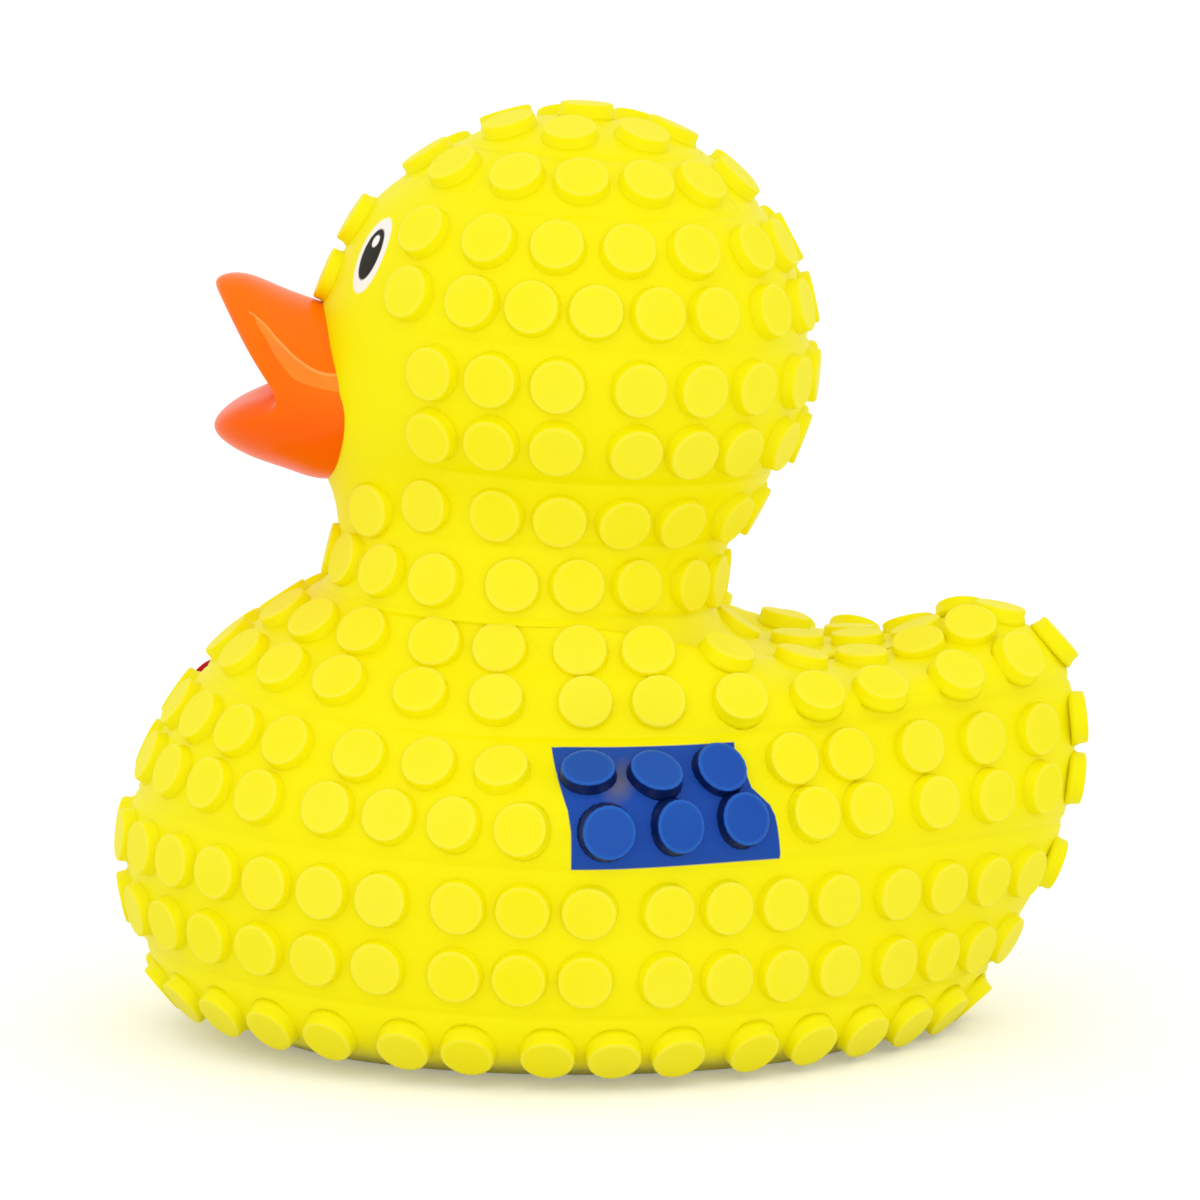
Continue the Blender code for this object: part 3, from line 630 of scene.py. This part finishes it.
YELLOW = linear(250, 240, 0)
YELLOW_DEEP = linear(249, 237, 0)
# Pale yellow painted on the yellow stud tops as sheen, and on their rims as a highlight
YELLOW_PAINTED_SHEEN = linear(252, 239, 80)
BLUE = linear(28, 76, 170)
# Dark blue painted on the walls and feet of the blue studs as shade
BLUE_PAINTED_SHADE = linear(10, 30, 84)
# Paler blue painted on the blue stud tops as sheen, and brighter blue on their rims as a highlight
BLUE_PAINTED_SHEEN = linear(34, 98, 184)
BLUE_PAINTED_RIM_HIGHLIGHT = linear(44, 112, 206)
BLUE_WORN = linear(128, 118, 96)
RED = linear(214, 24, 40)
# Dark red painted on the walls and feet of the red studs as shade
RED_PAINTED_SHADE = linear(168, 12, 26)
EYE_WHITE = linear(250, 244, 232)
EYE_DARK = linear(36, 32, 24)
ORANGE = linear(254, 116, 0)
ORANGE_DEEP = linear(252, 100, 0)
# Pale orange painted in the band under the beak's ridge as a reflection
ORANGE_PAINTED_REFLECTION = linear(255, 148, 50)
# Light orange painted along the beak's ridge as a highlight
ORANGE_PAINTED_HIGHLIGHT = linear(255, 172, 92)
print("yellow as mixed:", [round(part, 3) for part in YELLOW])

# %% Helpers that every finish uses
def mix_colours(nodes, links, amount, first, second):
    node = add_node(nodes, "ShaderNodeMix", data_type='RGBA')
    for socket, value in ((node.inputs["Factor"], amount), (node.inputs[6], first), (node.inputs[7], second)):
        if isinstance(value, (int, float, tuple)):
            socket.default_value = value
        else:
            links.new(value, socket)
    return node.outputs[2]


SOFTNESS = 0.15
SOFT_REACH = 0.0016
SOFT_COLOUR_REACH = (1.0, 1.0, 0.5)
GLOSS_LEVEL = 0.10
GRAIN_HEIGHT = 0.00004
CLOUD_IN_ROUGHNESS = 0.10


def finish_surface(nodes, links, colour, roughness, grain_amount, bump=0.25):
    """Feed the Principled shader of a material with colour, roughness and fine grain."""
    shader = nodes["Principled BSDF"]
    shader.inputs["Specular IOR Level"].default_value = GLOSS_LEVEL
    shader.inputs["Subsurface Weight"].default_value = SOFTNESS
    shader.inputs["Subsurface Radius"].default_value = SOFT_COLOUR_REACH
    shader.inputs["Subsurface Scale"].default_value = SOFT_REACH
    place_node = nodes.new("ShaderNodeTexCoord")
    grain = add_node(nodes, "ShaderNodeGroup", node_tree=vinyl_grain)
    grain.inputs["Grain amount"].default_value = grain_amount
    links.new(place_node.outputs["Object"], grain.inputs["Place"])
    bump_node = nodes.new("ShaderNodeBump")
    bump_node.inputs["Strength"].default_value = bump
    bump_node.inputs["Distance"].default_value = GRAIN_HEIGHT
    links.new(grain.outputs["Height"], bump_node.inputs["Height"])
    links.new(bump_node.outputs["Normal"], shader.inputs["Normal"])
    rough = calculate(nodes, links, 'MULTIPLY_ADD', grain.outputs["Cloud"], CLOUD_IN_ROUGHNESS,
                      roughness - CLOUD_IN_ROUGHNESS / 2)
    links.new(rough, shader.inputs["Roughness"])
    links.new(colour(grain.outputs["Cloud"]), shader.inputs["Base Color"])
    return shader


def step_mask(nodes, links, value, low, high):
    """0 below low, 1 above high, and a short soft ramp between them."""
    node = add_node(nodes, "ShaderNodeMapRange", clamp=True)
    for name, number in (("From Min", low), ("From Max", high)):
        node.inputs[name].default_value = number
    links.new(value, node.inputs["Value"])
    return node.outputs["Result"]


# %% [markdown]
# ## Paint on the skin
# The blue and red bricks are fields on the skin between two seams, with ends that follow the joints. The UV
# map gives the share and the row at each point, so a curve node can say for each row where the field starts
# and where it ends. Painting by faces would leave steps along the slanting ends, and this stays crisp.

# %% A painted field between two edges
SHARE_EDGE = 0.0012
ROW_EDGE = 0.02


def share_limit(nodes, links, row, points, low, high):
    """A curve of the share against the row, through a few points, between two whole limits."""
    curve = nodes.new("ShaderNodeFloatCurve")
    line = curve.mapping.curves[0]
    first, last = points[0][0], points[-1][0]
    places = [((at - first) / (last - first), (share - low) / (high - low)) for at, share in points]
    line.points[0].location, line.points[-1].location = places[0], places[-1]
    for place_on_curve in places[1:-1]:
        line.points.new(*place_on_curve)
    for point in line.points:
        point.handle_type = 'VECTOR'
    curve.mapping.update()
    along = step_mask(nodes, links, row, first, last)
    links.new(along, curve.inputs["Value"])
    return calculate(nodes, links, 'MULTIPLY_ADD', curve.outputs["Value"], high - low, low)


def field_mask(nodes, links, row, share, top, bottom, starts, ends):
    """1 inside a painted field, 0 outside it."""
    low = min(point[1] for point in starts) - 0.01
    high = max(point[1] for point in ends) + 0.01
    start = share_limit(nodes, links, row, starts, low, high)
    end = share_limit(nodes, links, row, ends, low, high)
    after_start = step_mask(nodes, links, calculate(nodes, links, 'SUBTRACT', share, start), 0.0, SHARE_EDGE)
    before_end = step_mask(nodes, links, calculate(nodes, links, 'SUBTRACT', end, share), 0.0, SHARE_EDGE)
    below_top = step_mask(nodes, links, row, top, top + ROW_EDGE)
    past_bottom = step_mask(nodes, links, row, bottom - ROW_EDGE, bottom)
    above_bottom = calculate(nodes, links, 'SUBTRACT', 1.0, past_bottom)
    across = calculate(nodes, links, 'MULTIPLY', after_start, before_end)
    down = calculate(nodes, links, 'MULTIPLY', below_top, above_bottom)
    return calculate(nodes, links, 'MULTIPLY', across, down)


BLUE_TOP, BLUE_BOTTOM = 12.63, 14.5
BLUE_STARTS = [(12.6, 0.434), (13.0, 0.448), (13.6, 0.464), (14.5, 0.480)]
BLUE_ENDS = [(12.6, 0.600), (12.78, 0.604), (13.15, 0.618), (13.43, 0.624), (13.78, 0.642), (14.08, 0.650),
             (14.5, 0.660)]
RED_TOP, RED_BOTTOM = 12.6, 14.5
RED_STARTS = [(12.6, 1.760), (14.5, 1.762)]
RED_ENDS = [(12.6, 1.938), (14.5, 1.938)]

# A small spot between two blue studs where the paint is worn thin: share and row, then half sizes
WORN_SPOT = (0.503, 13.15)
WORN_HALF_SHARE = 0.010
WORN_HALF_ROW = 0.24
WORN_EDGE = 0.007

# %% [markdown]
# ## The eyes
# Each eye is printed flat on the smooth face: a pale oval that leans forward at the top, a dark oval in it,
# and a small round glint. Two directions along the face and a centre turn Object coordinates into the
# eye's own flat coordinates. The distance from the middle plane is taken without its sign, so the same
# nodes print the eye of both sides.

# %% Ovals of the eye
EYE_CENTRE = (-0.02012, 0.00753, 0.06983)
EYE_SIDE = (0.508, 0.861, 0.0)
EYE_UP = (0.446, -0.263, 0.855)

# Each oval: its middle, half its width, half its height and its lean
WHITE_OVAL = ((0.0, 0.0), 0.00205, 0.00355)
DARK_OVAL = ((-0.00004, 0.00002), 0.00138, 0.0024, radians(-1))
GLINT_OVAL = ((-0.00005, 0.00122), 0.00050, 0.00058)


def flat_coordinates(nodes, links):
    """Distances along the face from the middle of the eye, in metres."""
    place_node = nodes.new("ShaderNodeTexCoord")
    parts = nodes.new("ShaderNodeSeparateXYZ")
    links.new(place_node.outputs["Object"], parts.inputs[0])
    near = [parts.outputs[0], calculate(nodes, links, 'ABSOLUTE', parts.outputs[1]), parts.outputs[2]]
    offsets = [calculate(nodes, links, 'SUBTRACT', value, middle) for value, middle in zip(near, EYE_CENTRE)]

    def along(direction):
        total = calculate(nodes, links, 'MULTIPLY', offsets[0], direction[0])
        total = calculate(nodes, links, 'MULTIPLY_ADD', offsets[1], direction[1], total)
        return calculate(nodes, links, 'MULTIPLY_ADD', offsets[2], direction[2], total)

    return along(EYE_SIDE), along(EYE_UP)


def oval_mask(nodes, links, side, up, middle, half_side, half_up, lean=0.0, edge=0.00006):
    """1 inside a leaning oval, with an edge that is twice the given amount soft."""
    right = calculate(nodes, links, 'SUBTRACT', side, middle[0])
    above = calculate(nodes, links, 'SUBTRACT', up, middle[1])
    across = calculate(nodes, links, 'MULTIPLY', right, cos(lean) / half_side)
    across = calculate(nodes, links, 'MULTIPLY_ADD', above, sin(lean) / half_side, across)
    tall = calculate(nodes, links, 'MULTIPLY', above, cos(lean) / half_up)
    tall = calculate(nodes, links, 'MULTIPLY_ADD', right, -sin(lean) / half_up, tall)
    square = calculate(nodes, links, 'MULTIPLY', across, across)
    square = calculate(nodes, links, 'MULTIPLY_ADD', tall, tall, square)
    away = calculate(nodes, links, 'SQRT', square)
    softness = edge / half_side
    outside = step_mask(nodes, links, away, 1.0 - softness, 1.0 + softness)
    return calculate(nodes, links, 'SUBTRACT', 1.0, outside)


# %% The finish of the skin
def skin_finish():
    material, nodes, links = new_material("duck_vinyl_skin")
    marks = add_node(nodes, "ShaderNodeUVMap", uv_map="share_and_row")
    parts = nodes.new("ShaderNodeSeparateXYZ")
    links.new(marks.outputs["UV"], parts.inputs[0])
    share = parts.outputs[0]
    row = calculate(nodes, links, 'MULTIPLY', parts.outputs[1], float(BASE_ROW))
    blue_field = field_mask(nodes, links, row, share, BLUE_TOP, BLUE_BOTTOM, BLUE_STARTS, BLUE_ENDS)
    red_field = field_mask(nodes, links, row, share, RED_TOP, RED_BOTTOM, RED_STARTS, RED_ENDS)
    worn = oval_mask(nodes, links, share, row, WORN_SPOT, WORN_HALF_SHARE, WORN_HALF_ROW, edge=WORN_EDGE)
    side, up = flat_coordinates(nodes, links)
    ovals = (WHITE_OVAL, DARK_OVAL, GLINT_OVAL)
    white, dark, glint = [oval_mask(nodes, links, side, up, *oval) for oval in ovals]

    def colour(cloud):
        base = mix_colours(nodes, links, cloud, YELLOW, YELLOW_DEEP)
        blue_paint = mix_colours(nodes, links, calculate(nodes, links, 'MULTIPLY', worn, 0.55), BLUE, BLUE_WORN)
        base = mix_colours(nodes, links, blue_field, base, blue_paint)
        base = mix_colours(nodes, links, red_field, base, RED)
        base = mix_colours(nodes, links, white, base, EYE_WHITE)
        base = mix_colours(nodes, links, dark, base, EYE_DARK)
        return mix_colours(nodes, links, glint, base, EYE_WHITE)

    finish_surface(nodes, links, colour, 0.45, 0.3)
    return material


duck_vinyl_skin = skin_finish()
duck_skin.data.materials.append(duck_vinyl_skin)
print("nodes in the skin's finish:", len(duck_vinyl_skin.node_tree.nodes))

# %% The finishes of the studs
def stud_finish(name, body, wall, sheen_colour, rim_highlight_colour, sheen_amount, roughness):
    """Colour by the stud's own attribute: the wall, which can carry painted shade, then painted sheen on the
    top, mottled by the cloud, and a painted highlight on the rim.
    """
    material, nodes, links = new_material(name)
    mark = add_node(nodes, "ShaderNodeAttribute", attribute_name="rim")

    def colour(cloud):
        top = step_mask(nodes, links, mark.outputs["Fac"], 0.60, 0.80)
        # The rim mask places a painted highlight on the rounded edge of the top
        rim = step_mask(nodes, links, mark.outputs["Fac"], 0.84, 1.0)
        # Painted sheen on the top, broken up by the cloud
        top_sheen = calculate(nodes, links, 'MULTIPLY', top, step_mask(nodes, links, cloud, 0.25, 0.75))
        # The wall colour is painted shade on the blue and red studs
        base = mix_colours(nodes, links, top, wall, body)
        base = mix_colours(nodes, links, calculate(nodes, links, 'MULTIPLY', top_sheen, sheen_amount), base, sheen_colour)
        return mix_colours(nodes, links, calculate(nodes, links, 'MULTIPLY', rim, 0.5), base, rim_highlight_colour)

    finish_surface(nodes, links, colour, roughness, 0.3)
    return material


yellow_stud_finish = stud_finish("duck_vinyl_studs", YELLOW_DEEP, YELLOW, YELLOW_PAINTED_SHEEN, YELLOW_PAINTED_SHEEN, 0.4, 0.5)
blue_stud_finish = stud_finish("blue_painted_studs", BLUE, BLUE_PAINTED_SHADE, BLUE_PAINTED_SHEEN, BLUE_PAINTED_RIM_HIGHLIGHT, 0.4, 0.3)
red_stud_finish = stud_finish("red_painted_studs", RED, RED_PAINTED_SHADE, RED, RED, 0.2, 0.3)

# %% Set the studs
yellow_studs = set_studs("yellow_studs", yellow, yellow_stud_finish)
blue_studs = set_studs("blue_studs", blue, blue_stud_finish)
red_studs = set_studs("red_studs", red, red_stud_finish)
bpy.data.objects.remove(one_stud, do_unlink=True)

# %% [markdown]
# ## The beak
# The beak is part of the same moulding, but it is smooth, open at the front and painted orange. It is a
# good case for a Subdivision Surface: a cage of seven loops, each with ten points down one side, gives its
# form, and the surface rounds it. A crease keeps the ridge along each side of the upper bill firm.

# %% The loops of the beak
BEAK_LOOPS = [
    [(-0.0205, 0.0, 0.0640), (-0.0203, 0.0030, 0.0632), (-0.0200, 0.0056, 0.0615), (-0.0196, 0.0078, 0.0592),
     (-0.0194, 0.0084, 0.0578), (-0.0193, 0.0087, 0.0565), (-0.0194, 0.0082, 0.0545), (-0.0198, 0.0060, 0.0523),
     (-0.0202, 0.0032, 0.0507), (-0.0205, 0.0, 0.0498)],
    [(-0.0252, 0.0, 0.0652), (-0.0246, 0.0031, 0.0646), (-0.0240, 0.0060, 0.0631), (-0.0233, 0.0090, 0.0584),
     (-0.0229, 0.0089, 0.0576), (-0.0228, 0.0096, 0.0566), (-0.0229, 0.0092, 0.0542), (-0.0235, 0.0067, 0.0514),
     (-0.0241, 0.0035, 0.0494), (-0.0245, 0.0, 0.0485)],
    [(-0.0282, 0.0, 0.0663), (-0.0280, 0.0026, 0.0659), (-0.0276, 0.0050, 0.0648), (-0.0270, 0.0086, 0.0609),
     (-0.0276, 0.0073, 0.0591), (-0.0269, 0.0087, 0.0574), (-0.0262, 0.0083, 0.0543), (-0.0267, 0.0065, 0.0521),
     (-0.0273, 0.0034, 0.0506), (-0.0276, 0.0, 0.0500)],
    [(-0.0315, 0.0, 0.0679), (-0.0313, 0.0026, 0.0676), (-0.0307, 0.0049, 0.0663), (-0.0299, 0.0075, 0.0638),
     (-0.0294, 0.0061, 0.0622), (-0.0276, 0.0083, 0.0570), (-0.0288, 0.0078, 0.0547), (-0.0302, 0.0060, 0.0529),
     (-0.0309, 0.0033, 0.0516), (-0.0314, 0.0, 0.0511)],
    [(-0.0344, 0.0, 0.0674), (-0.0339, 0.0025, 0.0666), (-0.0329, 0.0046, 0.0645), (-0.0315, 0.0062, 0.0616),
     (-0.0299, 0.0072, 0.0590), (-0.0280, 0.0080, 0.0563), (-0.0306, 0.0067, 0.0555), (-0.0330, 0.0049, 0.0547),
     (-0.0344, 0.0026, 0.0539), (-0.0350, 0.0, 0.0535)],
    [(-0.0335, 0.0, 0.0656), (-0.0330, 0.0020, 0.0648), (-0.0319, 0.0038, 0.0629), (-0.0305, 0.0052, 0.0607),
     (-0.0292, 0.0060, 0.0588), (-0.0277, 0.0064, 0.0570), (-0.0297, 0.0055, 0.0569), (-0.0317, 0.0039, 0.0564),
     (-0.0327, 0.0020, 0.0560), (-0.0331, 0.0, 0.0558)],
    [(-0.0284, 0.0, 0.0606), (-0.0282, 0.0016, 0.0603), (-0.0279, 0.0030, 0.0597), (-0.0276, 0.0039, 0.0591),
     (-0.0273, 0.0044, 0.0586), (-0.0270, 0.0047, 0.0581), (-0.0274, 0.0041, 0.0578), (-0.0278, 0.0030, 0.0577),
     (-0.0280, 0.0016, 0.0577), (-0.0282, 0.0, 0.0578)],
]
BEAK_RIDGE_POINT = 3
BEAK_RIDGE_CREASE = 1.0


def whole_loop(half):
    left = [Vector((x, -y, z)) for x, y, z in half]
    return left + [Vector((x, y, z)) for x, y, z in reversed(half[1:-1])]


def beak_mesh():
    work = bmesh.new()
    loops = [[work.verts.new(point) for point in whole_loop(half)] for half in BEAK_LOOPS]
    count = len(loops[0])
    cage_place = {vert: (min(index, count - index) / 9, number / 6)
                  for number, loop in enumerate(loops) for index, vert in enumerate(loop)}
    for outer, inner in zip(loops, loops[1:]):
        for index in range(count):
            after = (index + 1) % count
            work.faces.new([outer[index], outer[after], inner[after], inner[index]])
    for loop in (loops[0], loops[-1]):
        for index in range(-4, 4):
            work.faces.new([loop[number % count] for number in (index, index + 1, 8 - index, 9 - index)])
    bmesh.ops.recalc_face_normals(work, faces=work.faces)
    map_layer = work.loops.layers.uv.new("around_and_along")
    for face in work.faces:
        for corner in face.loops:
            corner[map_layer].uv = cage_place[corner.vert]
    crease = work.edges.layers.float.new("crease_edge")
    for side in (BEAK_RIDGE_POINT, -BEAK_RIDGE_POINT):
        for first, second in ((1, 2), (2, 3)):
            work.edges.get((loops[first][side], loops[second][side]))[crease] = BEAK_RIDGE_CREASE
    mesh = bpy.data.meshes.new("duck_beak")
    work.to_mesh(mesh)
    work.free()
    return mesh


def round_off(piece, levels):
    """Apply a Subdivision Surface to a cage."""
    rounding = piece.modifiers.new("rounding", 'SUBSURF')
    rounding.levels = rounding.render_levels = levels
    bpy.context.view_layer.update()
    made = bpy.data.meshes.new_from_object(piece.evaluated_get(bpy.context.evaluated_depsgraph_get()))
    piece.modifiers.remove(rounding)
    piece.data = made
    made.shade_smooth()
    return piece


duck_beak = round_off(place("duck_beak", beak_mesh()), 4)
print("beak faces:", len(duck_beak.data.polygons), "volume and open edges:", outward_volume(duck_beak.data))

# %% The finish of the beak
# Lines on the beak that bound a painted highlight along the ridge and a painted reflection in the band under
# it: how far along in loops, and how far around in cage points
CREST_TOP = [(0.9, 2.95), (2.0, 2.95), (2.5, 2.85), (3.0, 2.52), (3.3, 2.25)]
CREST_FOOT = [(0.9, 3.05), (2.0, 3.05), (2.5, 2.95), (3.0, 2.60), (3.3, 2.30)]
HOLLOW_FOOT = [(0.9, 3.85), (2.0, 4.15), (2.7, 3.75), (3.1, 2.75)]
PAINT_START = 0.9
CREST_LENGTH = 3.25
HOLLOW_LENGTH = 3.1


def beak_finish():
    """Orange paint with a soft gloss: deeper on the lower bill, with a painted highlight along the ridge and a
    painted reflection in the band just under it.
    """
    material, nodes, links = new_material("orange_beak_paint")
    marks = add_node(nodes, "ShaderNodeUVMap", uv_map="around_and_along")
    parts = nodes.new("ShaderNodeSeparateXYZ")
    links.new(marks.outputs["UV"], parts.inputs[0])
    around = calculate(nodes, links, 'MULTIPLY', parts.outputs[0], 9.0)
    along = calculate(nodes, links, 'MULTIPLY', parts.outputs[1], 6.0)
    lower = step_mask(nodes, links, around, 4.0, 6.0)
    ridge_highlight = field_mask(nodes, links, along, around, PAINT_START, CREST_LENGTH, CREST_TOP, CREST_FOOT)
    band_reflection = field_mask(nodes, links, along, around, PAINT_START, HOLLOW_LENGTH, CREST_FOOT, HOLLOW_FOOT)
    painted = step_mask(nodes, links, along, PAINT_START - 0.02, PAINT_START + 0.02)

    def colour(cloud):
        base = mix_colours(nodes, links, lower, ORANGE, ORANGE_DEEP)
        # Painted reflection in the band under the ridge
        base = mix_colours(nodes, links, calculate(nodes, links, 'MULTIPLY', band_reflection, 0.75), base, ORANGE_PAINTED_REFLECTION)
        # Painted highlight along the ridge
        base = mix_colours(nodes, links, calculate(nodes, links, 'MULTIPLY', ridge_highlight, 0.8), base, ORANGE_PAINTED_HIGHLIGHT)
        return mix_colours(nodes, links, painted, YELLOW, base)

    finish_surface(nodes, links, colour, 0.28, 0.2, bump=0.15)
    return material


duck_beak.data.materials.append(beak_finish())

# %% [markdown]
# ## Say what each piece stands for
# The solid model has one node for the whole moulding. The fine skin replaces it in the picture, and the
# studs and the beak ride with it. Nothing here moves by itself.

# %% Pieces and the body they ride on
for piece in (duck_skin, yellow_studs, blue_studs, red_studs, duck_beak):
    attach(piece, "root")
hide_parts("duck_shell")

# %% [markdown]
# ## Floor, light and camera
# The photograph is a cut-out on white: the light is very even and the background is plain white. A wide
# floor and the world give that white to the camera, while the light on the duck stays at a plain level. The
# camera stands far off with a long lens, a little above the duck and almost square to its left side.

# %% Floor
FLOOR_SHADE = 0.88
FLOOR_GLOW = 0.22
FLOOR_HALF_SIZE = 6.0


def seen_directly(nodes, links):
    """1 for rays of the camera, of reflections and of clear materials, 0 for the light on the duck."""
    path = nodes.new("ShaderNodeLightPath")
    seen = calculate(nodes, links, 'MAXIMUM', path.outputs["Is Camera Ray"], path.outputs["Is Glossy Ray"])
    return calculate(nodes, links, 'MAXIMUM', seen, path.outputs["Is Transmission Ray"])


def white_floor():
    material, nodes, links = new_material("white_floor")
    shader = nodes["Principled BSDF"]
    shader.inputs["Base Color"].default_value = (FLOOR_SHADE, FLOOR_SHADE, FLOOR_SHADE, 1.0)
    shader.inputs["Roughness"].default_value = 0.9
    shader.inputs["Specular IOR Level"].default_value = 0.0
    glow = calculate(nodes, links, 'MULTIPLY', seen_directly(nodes, links), FLOOR_GLOW)
    shader.inputs["Emission Color"].default_value = (1.0, 1.0, 1.0, 1.0)
    links.new(glow, shader.inputs["Emission Strength"])
    return material


floor_mesh = bpy.data.meshes.new("floor")
corners = [(x * FLOOR_HALF_SIZE, y * FLOOR_HALF_SIZE, 0.0) for x, y in ((-1, -1), (1, -1), (1, 1), (-1, 1))]
floor_mesh.from_pydata(corners, [], [(0, 1, 2, 3)])
floor = place("floor", floor_mesh)
floor_mesh.materials.append(white_floor())

# %% World and lamps
LOOK_AT = Vector((0.0, 0.0, 0.04))


def white_world(strength):
    world = bpy.data.worlds.new("white_world")
    bpy.context.scene.world = world
    world.use_nodes = True
    nodes, links = world.node_tree.nodes, world.node_tree.links
    level = calculate(nodes, links, 'MULTIPLY_ADD', seen_directly(nodes, links), 1.0 - strength, strength)
    background = nodes["Background"]
    background.inputs["Color"].default_value = (1.0, 1.0, 1.0, 1.0)
    links.new(level, background.inputs["Strength"])


def soft_lamp(name, spot, power, size):
    """A large square lamp that looks at the middle of the duck."""
    data = bpy.data.lights.new(name, 'AREA')
    data.energy, data.size, data.shape = power, size, 'SQUARE'
    lamp = bpy.data.objects.new(name, data)
    bpy.context.scene.collection.objects.link(lamp)
    lamp.location = spot
    lamp.rotation_euler = (LOOK_AT - Vector(spot)).to_track_quat('-Z', 'Y').to_euler()


white_world(0.98)
soft_lamp("key", (-0.5, -0.9, 0.9), 0.9, 0.8)
soft_lamp("low", (0.2, -1.0, 0.12), 1.2, 0.5)

# %% Camera
CAMERA_PLACE = Vector((-0.0272, -0.6494, 0.1403))
CAMERA_TURN = radians(2.4)
CAMERA_DROP = radians(8.929)
FOCAL_LENGTH_MM = 222.86

camera = bpy.data.objects.new("camera", bpy.data.cameras.new("camera"))
bpy.context.scene.collection.objects.link(camera)
look = Vector((sin(CAMERA_TURN) * cos(CAMERA_DROP), cos(CAMERA_TURN) * cos(CAMERA_DROP), -sin(CAMERA_DROP)))
camera.location = CAMERA_PLACE
camera.rotation_euler = look.to_track_quat('-Z', 'Y').to_euler()
camera.data.lens = FOCAL_LENGTH_MM
camera.data.sensor_width = 36.0
camera.data.clip_start = 0.01
camera.data.clip_end = 50.0
bpy.context.scene.camera = camera
bpy.context.scene.view_settings.view_transform = 'Standard'
print("camera at", [round(part, 3) for part in camera.location])
